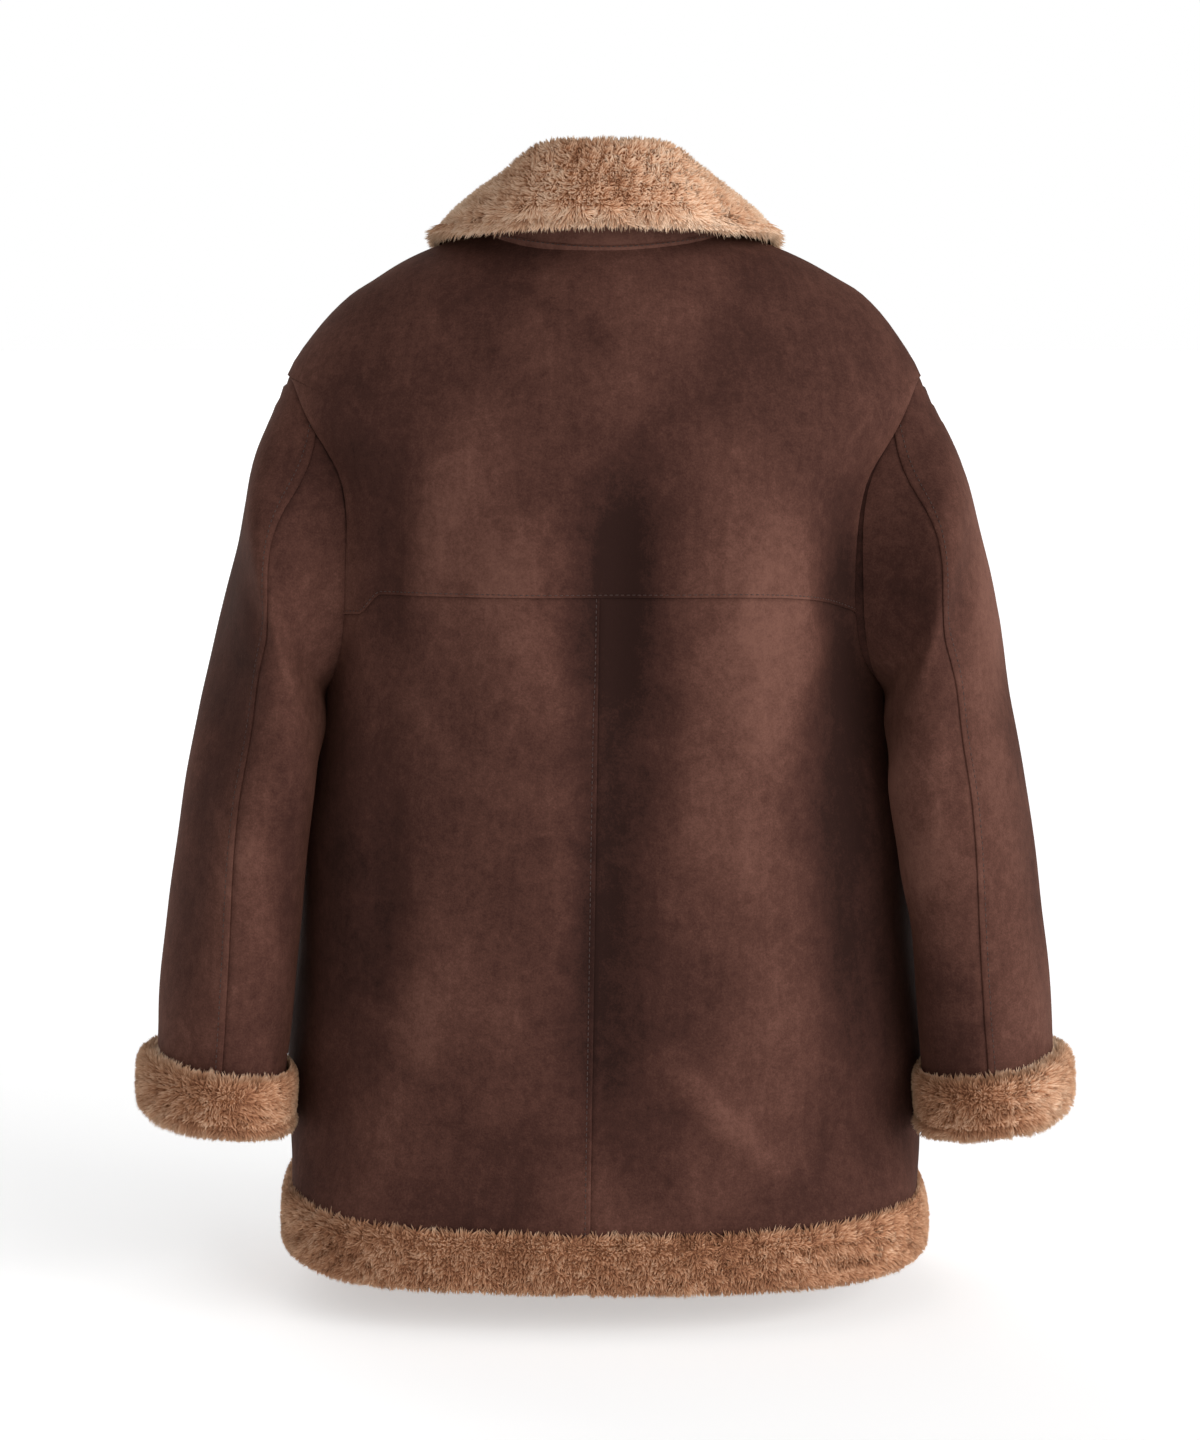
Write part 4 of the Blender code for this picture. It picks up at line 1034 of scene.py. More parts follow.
yoke, yoke_points, yoke_normals = yoke_panel()
back_left, back_left_points, back_left_normals = back_panel(1)
back_right, *_ = back_panel(-1)
front_left, front_left_points, front_left_normals = front_panel(1)
front_right, *_ = front_panel(-1)

# %% [markdown]
# ## Sleeves
#
# Each sleeve has an upper and an under panel, and is curved forward a little like a relaxed arm. It
# grows out of the armhole through the rings of its table. The body laps over its head all round, and
# the upper panel laps over the under one along the back seam.

# %% Sleeve form
SLEEVE_SEAMS = table(
    "along back_turn under_turn",
    ("armhole", 0.00, 41, 232),
    ("head",    0.05, 61, 233),
    ("cap",     0.11, 82, 233),
    ("upper",   0.19, 70, 234),
    ("biceps",  0.28, 54, 235),
    ("elbow",   0.50, 58, 236),
    ("lower",   0.75, 67, 237),
    ("cuff",    1.00, 75, 238),
)
SLEEVE_HEAD = 0.02        # share of the sleeve's length where its direction at the seam is taken
CUFF_SHARE = 0.910        # the cuff's top, as a share of the sleeve's length
SLEEVE_STEP = 0.06        # turn to the neighbours that give its direction, too wide to see the sharp
                          # turn at the top of the sleeve


def sleeve_rings(turn):
    """The armhole and each ring of SLEEVE at these turns, on the wearer's left."""
    rings = [body(*armhole(turn))]
    for ring in SLEEVE:
        c, s = superellipse(turn, ring["square"])
        lean = np.radians(ring["twist"])
        depth = ring["half_depth"]
        seen = (ring["outer_x"] - ring["inner_x"]) / 2
        half_width = np.sqrt(seen ** 2 - (depth * np.sin(lean)) ** 2) / np.cos(lean)
        across = half_width * c * np.cos(lean) - depth * s * np.sin(lean)
        y = ring["centre_y"] + half_width * c * np.sin(lean) + depth * s * np.cos(lean)
        x = (ring["outer_x"] + ring["inner_x"]) / 2 + across
        tilt = (ring["outer_z"] - ring["inner_z"]) / 2
        z = (ring["outer_z"] + ring["inner_z"]) / 2 + tilt * across / seen
        rings.append(np.stack([x, y, z], axis=-1))
    return np.array(rings)


def sleeve_stations():
    """Share of the sleeve's length at which each ring lies, from 0 at the armhole."""
    reach = reach_along(sleeve_rings(np.array([0.0, np.pi / 2, np.pi, -np.pi / 2])).mean(axis=1))
    return reach / reach[-1]


SLEEVE_STATIONS = sleeve_stations()


def sleeve(turn, along):
    """A point of the sleeve's outer face; along is one number, 0 at the armhole and 1 at the end."""
    return smooth_through(SLEEVE_STATIONS, sleeve_rings(turn), np.array([along]))[0]


def sleeve_normal(turn, along):
    """Outward direction of the sleeve's face."""
    return -facing(sleeve, turn, along, SLEEVE_STEP, last=1.0)


print("sleeve rings at", [round(s, 2) for s in SLEEVE_STATIONS])

# %% Sleeve panels
SLEEVE_LENGTH = 0.60
SLEEVE_RADIUS = 0.060
HEAD_FADE = 0.06          # share of the sleeve's length over which its creases start
# Besides their form, these heights paint the sleeve's suede, shade in a trough and light on a ridge; some,
# such as inner_light_right, are there mostly for that.
SLEEVE_CREASES = table(
    "side turn_a along_a turn_b along_b half_width height",
    ("elbow_fold",      0, 190, 0.47, 310, 0.53, 0.012, -0.0022),
    ("elbow_fold_low",  0, 200, 0.60, 315, 0.55, 0.011, -0.0016),
    ("elbow_roll",      0, 195, 0.53, 305, 0.545, 0.010, 0.0016),
    ("underarm_roll",   0, 140, 0.06, 190, 0.34, 0.020, 0.0020),
    ("cap_drag",        0, 60, 0.06, 110, 0.22, 0.016, 0.0012),
    ("back_slope_left",  1, 60, 0.30, 84, 0.66, 0.016, 0.0016),
    ("back_dip_left",    1, 100, 0.34, 118, 0.70, 0.014, -0.0018),
    ("wrist_left",       1, 60, 0.84, 130, 0.80, 0.012, -0.0012),
    ("outer_left",       1, 20, 0.30, 36, 0.84, 0.022, -0.0024),
    ("back_slope_right", -1, 70, 0.24, 100, 0.60, 0.016, 0.0015),
    ("back_dip_right",  -1, 106, 0.40, 124, 0.78, 0.018, 0.0014),
    ("wrist_right",     -1, 50, 0.80, 120, 0.86, 0.012, -0.0012),
    ("outer_right",     -1, 26, 0.26, 40, 0.92, 0.026, 0.0028),
    ("inner_light_right", -1, 132, 0.20, 146, 0.66, 0.028, 0.0044),
    ("head_full_right", -1, -4, 0.02, 8, 0.40, 0.045, 0.0050),
    ("head_flat_left",   1, -4, 0.10, 8, 0.46, 0.045, -0.0024),
)


def sleeve_crease_height(turn, along, side):
    """Creases of one sleeve, as lines from (turn, along) a to b."""
    v = along * SLEEVE_LENGTH
    total = np.zeros(turn.shape)
    for crease in SLEEVE_CREASES:
        if crease["side"] not in (0, side):
            continue
        turn_a, turn_b = math.radians(crease["turn_a"]), math.radians(crease["turn_b"])
        u = (np.mod(turn - turn_a + np.pi, 2 * np.pi) - np.pi + turn_a) * SLEEVE_RADIUS
        a = np.array((turn_a * SLEEVE_RADIUS, crease["along_a"] * SLEEVE_LENGTH))
        b = np.array((turn_b * SLEEVE_RADIUS, crease["along_b"] * SLEEVE_LENGTH))
        way = (b - a) / np.linalg.norm(b - a)
        share = ((u - a[0]) * way[0] + (v - a[1]) * way[1]) / np.linalg.norm(b - a)
        aside = (u - a[0]) * way[1] - (v - a[1]) * way[0]
        total += crease["height"] * hump(aside, crease["half_width"]) * fading(share, FOLD_FADE)
    return total


def seam_turn(name, along):
    """Turn of a sleeve seam at shares of the sleeve's length."""
    stations = column(SLEEVE_SEAMS, "along")
    turns = np.radians(column(SLEEVE_SEAMS, name))
    return smooth_through(stations, turns, along)


def sleeve_face(turns, alongs, side):
    """Points, outward directions and heights of a sleeve's face, one row for each share along."""
    points = np.array([sleeve(turn, along) for turn, along in zip(turns, alongs)])
    normals = np.array([sleeve_normal(turn, max(along, SLEEVE_HEAD)) for turn, along in zip(turns, alongs)])
    mirror = np.array([side, 1, 1])
    points, normals = points * mirror, normals * mirror
    share = by_row(alongs, turns.shape[1])
    height = sleeve_crease_height(turns, share, side) * ease(share / HEAD_FADE) + waviness(points)
    return points + normals * height[..., None], normals, height


SLEEVE_ALONGS = np.concatenate([spaced(0, CUFF_SHARE * SLEEVE_LENGTH, PITCH, True, False) / SLEEVE_LENGTH,
                                np.linspace(CUFF_SHARE, 1, 7)[1:]])


def sleeve_panel(side, part):
    alongs = SLEEVE_ALONGS
    back, under = seam_turn("back_turn", alongs), seam_turn("under_turn", alongs)
    start, end = (back, under) if part == "under" else (under, back + 2 * np.pi)
    width = (end - start).mean() * SLEEVE_RADIUS
    shares = spaced(0, width, PITCH) / width
    points, normals, height = sleeve_face(start[:, None] + (end - start)[:, None] * shares, alongs, side)
    back_line, under_line = (sleeve_face(seam[:, None], alongs, side)[0][:, 0] for seam in (back, under))
    angle, down = armhole(np.linspace(0, 2 * np.pi, 2 * ARMHOLE_MARKS))
    laps = [(back_line, "sleeve_over" if part == "upper" else "sleeve_under"), (under_line, "plain"),
            (lifted(side * angle, down)[0], "armhole_under")]
    # Painted shade and light: the crease heights, doubled, darken the sleeve's suede in the troughs and pale
    # it on the ridges.
    return sheepskin(f"sleeve_{SIDES[side]}_{part}", points, normals, laps, 2 * height)


sleeves = {(side, part): sleeve_panel(side, part) for side in SIDES for part in ("upper", "under")}

# %% Armhole seams
SEAM_TUCK = 0.0016        # how far the seam's edges go under the skins
SEAM_ALLOWANCE = 0.003    # how far they go on under the body's own edge
SEAM_ON_SLEEVE = (0.004, 0.022)     # shares of the sleeve's length that they lie along
SEAM_SKIN = 0.0012        # their skin is pared thin
SEAM_SHADE = -0.8         # height that stands for the shade that they lie in


def armhole_seam(side):
    """The turned-in edges of the armhole, that close the space between the body and a sleeve."""
    turn = np.linspace(0, 2 * np.pi, 4 * ARMHOLE_MARKS + 1)[:-1]
    angle, down = armhole(turn)
    edge, outward, _ = lifted(side * angle, down)
    edge = edge - outward * SEAM_TUCK
    heads = [sleeve_face(turn[None], np.array([share]), side) for share in SEAM_ON_SLEEVE]
    heads = [points[0] - normals[0] * SEAM_TUCK for points, normals, _ in heads]
    sheet = np.array([edge - outward * SEAM_ALLOWANCE, edge, *heads])
    name = f"armhole_{SIDES[side]}_seam"
    print(name, "closes up to", round(np.linalg.norm(heads[0] - edge, axis=-1).max() / MM, 1), "mm")
    two_faced(name, sheet, sheet - outward * SEAM_SKIN, (brushed_suede,), height=SEAM_SHADE,
              closed=True)


for side in SIDES:
    armhole_seam(side)

# %% [markdown]
# ## Locks of wool
#
# Wherever the wool is outside, it is made in two parts: a dense sheet that lies a few millimetres
# deep, and a pile of locks that stand on it. Blender has hair curves for this, but they are left
# out of a mesh export, so each lock here is a thin three-sided spike, and there are very many of them.
# Neighbours lean much the same way, in curls a few millimetres wide, and the pile parts in dark
# cracks. NumPy lays out all the locks of a piece at once, spread evenly by area.
#
# Fur is shaded more by the skin that it covers than by its own fibres. So each corner of a lock gets
# a normal of its own, mostly that of the skin, and only partly that of the spike.

# %% Wool locks
LOCK_RADIUS = 0.00085     # at the root of a lock
LOCK_TURNS = np.arange(3) * 2 * np.pi / 3
CRACK = 0.0100            # spacing of the cracks in the pile
FINE_CRACK = 0.0052       # and of the finer ones between its curls
CRACK_WIDTH = 0.18        # as a share of that
CRACK_AREA = 0.050        # some parts this wide are cracked and others hardly
CLUMP = 0.0034            # locks within this width draw together at their tips
CLUMP_PULL = 0.60
CLUMP_MIX = np.array(((12.9, 78.2, 37.7), (39.3, 11.1, 83.1), (73.2, 52.2, 9.3)))
SKIN_SHARE = 1.0          # weights of the skin's, the spike's and the lock's own direction
SPIKE_SHARE = 0.50
LOCK_SHARE = 0.35
# The pile's patterns are sums of slow noises. Locks within the width of a swirl lean the same way.
NOISES = table(
    "strength width shift",
    ("swirl", 0.60, 0.0300, 0),
    ("swirl", 1.50, 0.0085, 5),
    ("lean", 0.30, 0.0450, 1),
    ("length", 0.06, 0.0200, 2),
    ("length", 0.10, 0.0060, 9),
    ("tone", 0.12, 0.0350, 3),
    ("tone", 0.12, 0.0080, 4),
)


def mesh_from_arrays(name, points, face_sizes, corners):
    """A mesh straight from arrays, which is much faster than lists for a large one."""
    mesh = bpy.data.meshes.new(name)
    mesh.vertices.add(len(points))
    mesh.vertices.foreach_set("co", np.asarray(points, np.float32).ravel())
    mesh.loops.add(len(corners))
    mesh.loops.foreach_set("vertex_index", corners.astype(np.int32))
    mesh.polygons.add(len(face_sizes))
    starts = np.concatenate([[0], np.cumsum(face_sizes)[:-1]])
    mesh.polygons.foreach_set("loop_start", starts.astype(np.int32))
    mesh.update(calc_edges=True)
    mesh.validate()
    mesh.shade_smooth()
    return mesh


def slow_noise(points, length, shift):
    """Smooth, uneven values between about -1 and 1, with waves of a given length."""
    ways = np.array(((0.9, 0.3, 0.4), (-0.5, 0.8, 0.5), (0.3, -0.6, 0.9), (0.7, 0.6, -0.6)))
    total = np.zeros(points.shape[:-1])
    for i, way in enumerate(ways):
        total += np.sin(points @ way * (2 * np.pi / (length * (1 + 0.37 * i))) + shift * (i + 1))
    return total / 2.2


def grid_normals(points):
    """Outward direction of a grid, as its rows and columns run."""
    along = np.gradient(points, axis=0)
    around = np.gradient(points, axis=1)
    return unit(np.cross(around, along))


def scatter(grids, spacing, rng):
    """Spread places evenly over the first grid, and read every grid at those places."""
    points = grids[0]
    across = np.linalg.norm(np.diff(points, axis=1), axis=-1)
    down = np.linalg.norm(np.diff(points, axis=0), axis=-1)
    area = (across[:-1] + across[1:]) * (down[:, :-1] + down[:, 1:]) / 4
    reach = np.concatenate([[0.0], np.cumsum(area)])
    count = int(reach[-1] / spacing ** 2)
    at = (np.arange(count) + rng.uniform(0.1, 0.9, count)) * reach[-1] / count
    cell = np.clip(np.searchsorted(reach, at, side="right") - 1, 0, area.size - 1)
    i, j = np.divmod(cell, area.shape[1])
    u = ((at - reach[cell]) / np.maximum(area.ravel()[cell], 1e-12))
    v = rng.uniform(0, 1, count)
    found = []
    for grid in grids:
        uu, vv = (u[:, None], v[:, None]) if grid.ndim == 3 else (u, v)
        top = grid[i, j] * (1 - uu) + grid[i, j + 1] * uu
        low = grid[i + 1, j] * (1 - uu) + grid[i + 1, j + 1] * uu
        found.append(top * (1 - vv) + low * vv)
    return found


def along_skin(way, normal):
    """What is left of a direction along the skin."""
    return way - normal * (way * normal).sum(-1, keepdims=True)


def layered(points, name, seed, total=0.0):
    """A start value with all the slow noises of this name added."""
    for row in NOISES:
        if row["name"] == name:
            total = total + row["strength"] * slow_noise(points, row["width"], seed + row["shift"])
    return total


def to_clump(points, normal):
    """The way along the skin from each point to the middle of its clump."""
    cell = np.floor(points / CLUMP)
    shift = np.modf(np.abs(np.sin(cell @ CLUMP_MIX)) * 437.0)[0]
    return along_skin((cell + 0.15 + 0.7 * shift) * CLUMP - points, normal)


def cracks(root, seed):
    """How deep in a crack of the pile each lock stands."""
    crack = hump(slow_noise(root, CRACK, seed + 6), CRACK_WIDTH)
    area = ease(0.55 + 0.9 * slow_noise(root, CRACK_AREA, seed + 7))
    fine_crack = hump(slow_noise(root, FINE_CRACK, seed + 8), CRACK_WIDTH)
    return crack * area + 0.45 * fine_crack * (0.4 + 0.6 * area)


def lock_mesh(name, root, tip, normal, rng):
    """Three-sided spikes from the roots to the tips, shaded mostly as the skin that they cover."""
    count = len(root)
    axis = unit(tip - root)
    across = unit(np.cross(axis, rng.normal(0, 1, (count, 3))))
    other = np.cross(axis, across)
    ring = across[:, None] * np.cos(LOCK_TURNS)[:, None] + other[:, None] * np.sin(LOCK_TURNS)[:, None]
    radius = rng.uniform(0.75, 1.25, count) * LOCK_RADIUS
    points = np.concatenate([root[:, None] + ring * radius[:, None, None], tip[:, None]], axis=1)
    skin = (normal * SKIN_SHARE + axis * LOCK_SHARE)[:, None]
    normals = np.concatenate([skin + ring * SPIKE_SHARE, skin], axis=1)
    pattern = np.array([q for j in range(3) for q in (j, (j + 1) % 3, 3)])
    corners = (np.arange(count)[:, None] * 4 + pattern).ravel()
    mesh = mesh_from_arrays(name, points.reshape(-1, 3), np.full(count * 3, 3), corners)
    mesh.normals_split_custom_set_from_vertices(unit(normals.reshape(-1, 3)))
    return mesh


def make_pile(name, root, normal, comb, length, lean, seed, curl=1.0, tint=0.0, cracked=1.0):
    """Locks at these roots, combed one way. Curl is 0 where they lie straight, tint makes them paler."""
    rng = np.random.default_rng(seed)
    count = len(root)
    comb = unit(along_skin(comb, normal))
    swirl = curl * (layered(root, "swirl", seed) + rng.normal(0, 0.25, count))
    way = comb * np.cos(swirl)[:, None] + np.cross(normal, comb) * np.sin(swirl)[:, None]
    crack = cracked * curl * cracks(root, seed)
    lean = np.clip(lean * layered(root, "lean", seed, 1) + rng.normal(0, 0.12, count), 0, 3.5)
    length = length * (1 + layered(root, "length", seed))
    length = length * np.clip(1 - 0.28 * crack, 0.5, 1) * rng.uniform(0.90, 1.04, count)
    aim = unit(normal + way * lean[:, None])
    tip = root + aim * length[:, None] + CLUMP_PULL * to_clump(root, normal)
    mesh = lock_mesh(name, root, tip, normal, rng)
    tone = layered(root, "tone", seed, 0.5)
    # Painted shade: a lock in a crack is darker, and the rise numbers make every root darker than its tip.
    tone = np.clip(tone + tint - 0.52 * crack + rng.normal(0, 0.12, count), 0, 1)
    set_values(mesh, "rise", np.tile((0.0, 0.0, 0.0, 1.0), count))
    set_values(mesh, "tone", np.repeat(tone, 4))
    piece = finish_piece(mesh, name, (sheared_wool,))
    print(name, count, "locks,", count * 3, "triangles")
    return piece


print("a lock is up to", round(LOCK_RADIUS * 2500, 1), "mm wide")

# %% [markdown]
# ## Collar
#
# The collar is one wide band of shearling. It stands up from the neck seam with its wool towards the
# neck, rolls over, and falls outwards, so that the wool shows all over it. Underneath it has a suede
# side: the stand, whose lower edge shows as a crescent at the back neck, and the underside of the
# fall.

# %% Collar form


def collar_value(name, angle):
    degrees = np.abs(np.degrees(angle))
    stations = column(COLLAR, "angle")
    return smooth_through(stations, column(COLLAR, name), degrees)


def level_outward(angle, down):
    """Level direction straight out from a ring of the body."""
    step = 1e-3
    way = body_form(angle + step, down) - body_form(angle - step, down)
    return unit(np.stack([-way[..., 1], way[..., 0], np.zeros(angle.shape)], axis=-1))


def collar_middle(angle, share):
    """The collar's middle surface: share 0 at the neck seam, about 0.5 at the roll, 1 at the edge."""
    base = body(angle, np.zeros(angle.shape))
    outward = level_outward(angle, np.zeros(angle.shape))

    def place(out, up):
        point = base + outward * np.asarray(out)[..., None]
        point[..., 2] += up
        return point

    flat = np.zeros(angle.shape)
    roll_out = collar_value("roll_out", angle)
    roll_up = collar_value("roll_up", angle)
    (foot_out, foot_up), (stand_out, stand_share) = COLLAR_BASE
    stops = np.array([
        place(flat + foot_out, flat + foot_up),
        place(flat + stand_out, stand_share * roll_up),
        place(roll_out, roll_up),
        place(collar_value("mid_out", angle), collar_value("mid_up", angle)),
        place(collar_value("edge_out", angle), collar_value("edge_up", angle)),
    ])
    return smooth_through(np.linspace(0, 1, 5), stops, np.array([share]))[0]


def collar_frame(angle, share):
    """Middle surface and its direction away from the neck and the roll's inside."""
    return collar_middle(angle, share), facing(collar_middle, angle, share, last=1.0)


def collar_half(share):
    """Half the fur's thickness, at a share of the way from the neck seam to the edge."""
    return (FUR_COLLAR + (FUR_COLLAR_EDGE - FUR_COLLAR) * ease((share - 0.5) / 0.5)) / 2


WOOL_DEPTH = 0.0042       # depth of the pile over its dense sheet
LOCK = 0.00116            # spacing of the locks
COLLAR_ANGLES = np.radians(np.linspace(-COLLAR_END, COLLAR_END, 150))
COLLAR_ROWS = np.linspace(0, 1, 44)


def collar_grids(rows, angles):
    """Points of the collar's middle surface and its direction out of the wool, row by row."""
    frames = [collar_frame(angles, share) for share in rows]
    return np.array([f[0] for f in frames]), np.array([f[1] for f in frames])


collar_points, collar_out = collar_grids(COLLAR_ROWS, COLLAR_ANGLES)
collar_halves = np.array([collar_half(share) for share in COLLAR_ROWS])[:, None, None]
print("collar, seam to edge:", round(reach_along(collar_points)[-1].mean(), 3))

# %% Collar of wool
FRINGE_FROM = 0.86        # share of the way to the collar's edge at which its fringe starts
FRINGE_GROWS = 0.09       # and over which it grows to its full length
FRINGE_LONGER = 0.0034    # how much longer the locks of the fringe are
FRINGE_TRIMMED = 0.0014   # and how much of that is missing over the shoulders
WOOL_OVER = 0.0012        # how far all the locks stand out over the depth of the pile
HANG = 1.6                # how much more the locks over the shoulders point down
SHOULDER_FROM = 0.9       # angle round the neck at which the shoulders start, in radians
SHOULDER_WIDTH = 0.4


def at_ends(round_neck):
    """1 over the shoulders, where the collar's edge hangs lower, and 0 behind the neck."""
    return ease((np.abs(round_neck) - SHOULDER_FROM) / SHOULDER_WIDTH)


def make_collar():
    skin = collar_points - collar_out * collar_halves
    sheet = collar_points + collar_out * (collar_halves - WOOL_DEPTH)
    base = two_faced("collar_fleece", sheet, skin, (wool_roots, brushed_suede), ("collar",))
    rng = np.random.default_rng(11)
    comb = np.gradient(sheet, axis=0)
    share = by_row(COLLAR_ROWS, sheet.shape[1])
    angle = np.broadcast_to(COLLAR_ANGLES, share.shape)
    root, out, down, place, round_neck = scatter((sheet, collar_out, comb, share, angle), LOCK, rng)
    fringe = ease((place - FRINGE_FROM) / FRINGE_GROWS)
    lean = 0.40 + 1.50 * fringe
    length = WOOL_DEPTH + WOOL_OVER + fringe * (FRINGE_LONGER - FRINGE_TRIMMED * at_ends(round_neck))
    fall = place > 0.5
    down = unit(down) - np.array((0, 0, HANG)) * (fringe * at_ends(round_neck))[:, None]
    piles = [make_pile(name, root[part], unit(out[part]), down[part], length[part], lean[part], seed,
                       curl=1 - 0.5 * fringe[part], tint=0.23 + 0.10 * fringe[part], cracked=0.55)
             for name, part, seed in (("collar_fall_pile", fall, 21), ("collar_stand_pile", ~fall, 22))]
    return base, piles


collar, collar_piles = make_collar()

# %% Edges of the wool
EDGE_LOCK = 0.0009        # spacing of the locks along an edge
EDGE_LAYERS = 4
EDGE_DEPTH = 0.006        # thickness of the wool that the layers fill
EDGE_LENGTH = 0.0060      # length of its locks
EDGE_LONGER = 0.0010      # and how much longer they are over the shoulders
EDGE_ROOTED = 0.002       # and how much of a lock is hidden at its root
EDGE_BACK = (0.001, 0.005)          # a lock starts this far back from the edge, from the least to the most
EDGE_RISE = 0.7           # share of the pile's depth that the outermost layer lies under its surface


def edge_pile(name, line, beyond, out, length, seed):
    """Locks along an edge of the wool, in layers through its thickness, that point past it."""
    rng = np.random.default_rng(seed)
    reach = reach_along(line)
    count = int(reach[-1] / EDGE_LOCK)
    roots, normals, combs, lengths = [], [], [], []
    for layer in range(EDGE_LAYERS):
        at = (np.arange(count) + rng.uniform(0, 1, count)) * reach[-1] / count
        spot, past, up = (read_along(at, reach, values) for values in (line, beyond, out))
        past, up = unit(past), unit(up)
        depth = EDGE_DEPTH * (layer + rng.uniform(0, 1, count)) / EDGE_LAYERS
        roots.append(spot - up * depth[:, None] - past * rng.uniform(*EDGE_BACK, (count, 1)))
        normals.append(unit(past + up * (0.75 - depth / EDGE_DEPTH)[:, None]))
        combs.append(up)
        lengths.append(np.interp(at, reach, length) + EDGE_ROOTED)
    root, normal, comb, long = (np.concatenate(part) for part in (roots, normals, combs, lengths))
    return make_pile(name, root, normal, comb, long, np.full(len(root), 0.20), seed, curl=0.3, tint=0.20)


collar_edge_line = collar_points[-1] + collar_out[-1] * (collar_halves[-1] - WOOL_DEPTH * EDGE_RISE)
hanging = np.array((0, 0, -HANG)) * at_ends(COLLAR_ANGLES)[:, None]
beyond_edge = unit(collar_points[-1] - collar_points[-3]) + hanging
collar_edge = edge_pile("collar_edge_pile", collar_edge_line, beyond_edge,
                        collar_out[-1], EDGE_LENGTH + EDGE_LONGER * at_ends(COLLAR_ANGLES), 23)

# %% Suede under the collar
COLLAR_WIDTH = 0.108      # from the neck seam to the collar's edge, for spacing its rows
STAND_HEIGHT = 0.026      # height of the suede on the stand
STAND_PITCH = 0.0017
STAND_ROWS = spaced(0, STAND_HEIGHT, STAND_PITCH, True, False) / COLLAR_WIDTH
FALL_ROWS = np.linspace(0.60, 0.90, 12)
STAND_TUCK = 0.0030       # the stand's edge goes this far down behind the yoke's edge


def collar_skin(name, node, rows, angles, tuck=0.0):
    middle, out = collar_grids(rows, angles)
    half = np.array([collar_half(share) for share in rows])[:, None, None]
    face = middle - out * (half + 2 * SEAM + SUEDE)
    back = middle - out * (half + 2 * SEAM)
    if tuck:
        face[0, :, 2] -= tuck
        back[0, :, 2] -= tuck
    lap = [(face[0] + (0, 0, tuck), "cord")] if tuck else []
    height = seam_height(face, lap) + 0.4 * waviness(face)
    face = face - out * height[..., None]
    # The stand's suede gets a height of 0.7 in its tone: painted light where the collar's fall shades it.
    piece = two_faced(name, face, back, (brushed_suede,), (node,), 0.7 if tuck else 0.0,
                      height / MM)
    return piece, face, -out


behind = np.radians(np.linspace(-STAND_END, STAND_END, 120))
collar_stand, stand_points, stand_normals = collar_skin("collar_stand_suede", "collar_stand", STAND_ROWS,
                                                        behind, STAND_TUCK)
under_collar, *_ = collar_skin("under_collar_suede", "under_collar", FALL_ROWS, COLLAR_ANGLES)

# %% [markdown]
# ## Cuffs
#
# The sleeve's end is turned back, so each cuff is a thick ring of wool. Its section is a short closed
# outline that is swept round the sleeve. The outline below is that of the dense sheet, and the locks
# bring it out to the full size. Near its lower edge a seam parts the wool in a dark line with a pale
# roll over it, and an upright join shows as a paler ridge.

# %% Swept wool


def swept(name, sheet, node, ring=False):
    """A form swept through closed outlines, by (place, column). A ring joins its last to its first."""
    points = sheet.transpose(1, 0, 2).reshape(-1, 3)
    index = np.arange(len(points)).reshape(sheet.shape[1], sheet.shape[0])
    ends = [] if ring else [index[0].tolist(), index[-1][::-1].tolist()]
    quads = grid_quads(joined(joined(index) if ring else index, 1))
    if enclosed(points, quads) < 0:
        quads = quads[:, ::-1]
    mesh = bpy.data.meshes.new(name)
    mesh.from_pydata(points.tolist(), [], quads.tolist() + ends)
    mesh.shade_smooth()
    print(name, len(quads), "faces")
    return finish_piece(mesh, name, (wool_roots,), (node,))


# %% Cuff form
CUFF = table(
    "level fur out up",
    ("slot_bottom",  "end",    0.00, 0.0006, -0.0006),
    ("slot_middle",  "middle", 0.00, 0.0006, 0.0000),
    ("slot_top",     "top",    0.00, 0.0006, -0.0020),
    ("top_edge",     "top",    0.26, 0.0000, -0.0016),
    ("top_shoulder", "top",    0.56, 0.0000, -0.0035),
    ("upper_face",   "top",    0.73, 0.0000, -0.0100),
    ("middle_face",  "middle", 0.78, 0.0000, 0.0000),
    ("lower_face",   "end",    0.71, 0.0000, 0.0050),
    ("lower_curve",  "end",    0.42, 0.0000, -0.0005),
    ("bottom",       "end",   -0.10, 0.0000, -0.0025),
    ("inner_curve",  "end",    0.00, -0.0058, -0.0006),
    ("inner_face",   "end",    0.00, -0.0075, 0.0060),
    ("inner_top",    "end",    0.00, -0.0072, 0.0140),
    ("lip",          "end",    0.00, -WALL - 0.0006, 0.0130),
    ("lip_bottom",   "end",    0.00, -WALL - 0.0006, -0.0006),
)
CUFF_OPEN = 3             # the wool stands on the outline from this point
CUFF_CLOSE = 12           # to this one
CUFF_COLUMNS_ROUND = 130
CUFF_FINE = 4             # steps of the sheet between two points of the outline


def cuff_outline(side):
    """The cuff's outline at every turn: points by (place round the outline, turn)."""
    turn = np.linspace(0, 2 * np.pi, CUFF_COLUMNS_ROUND, endpoint=False)
    levels = {}
    for level, along in (("top", CUFF_SHARE), ("middle", (1 + CUFF_SHARE) / 2), ("end", 1.0)):
        levels[level] = (sleeve(turn, along), sleeve_normal(turn, along))
    pressed = ease(-np.cos(turn))
    depth = FUR_CUFF * (1 - CUFF_PRESSED * pressed)
    way_up = unit(levels["top"][0] - levels["end"][0])
    loops = []
    for place in CUFF:
        base, normal = levels[place["level"]]
        out = place["fur"] * depth + place["out"]
        loops.append(base + normal * out[:, None] + way_up * place["up"])
    return np.array(loops) * np.array([side, 1, 1]), way_up * np.array([side, 1, 1]), depth


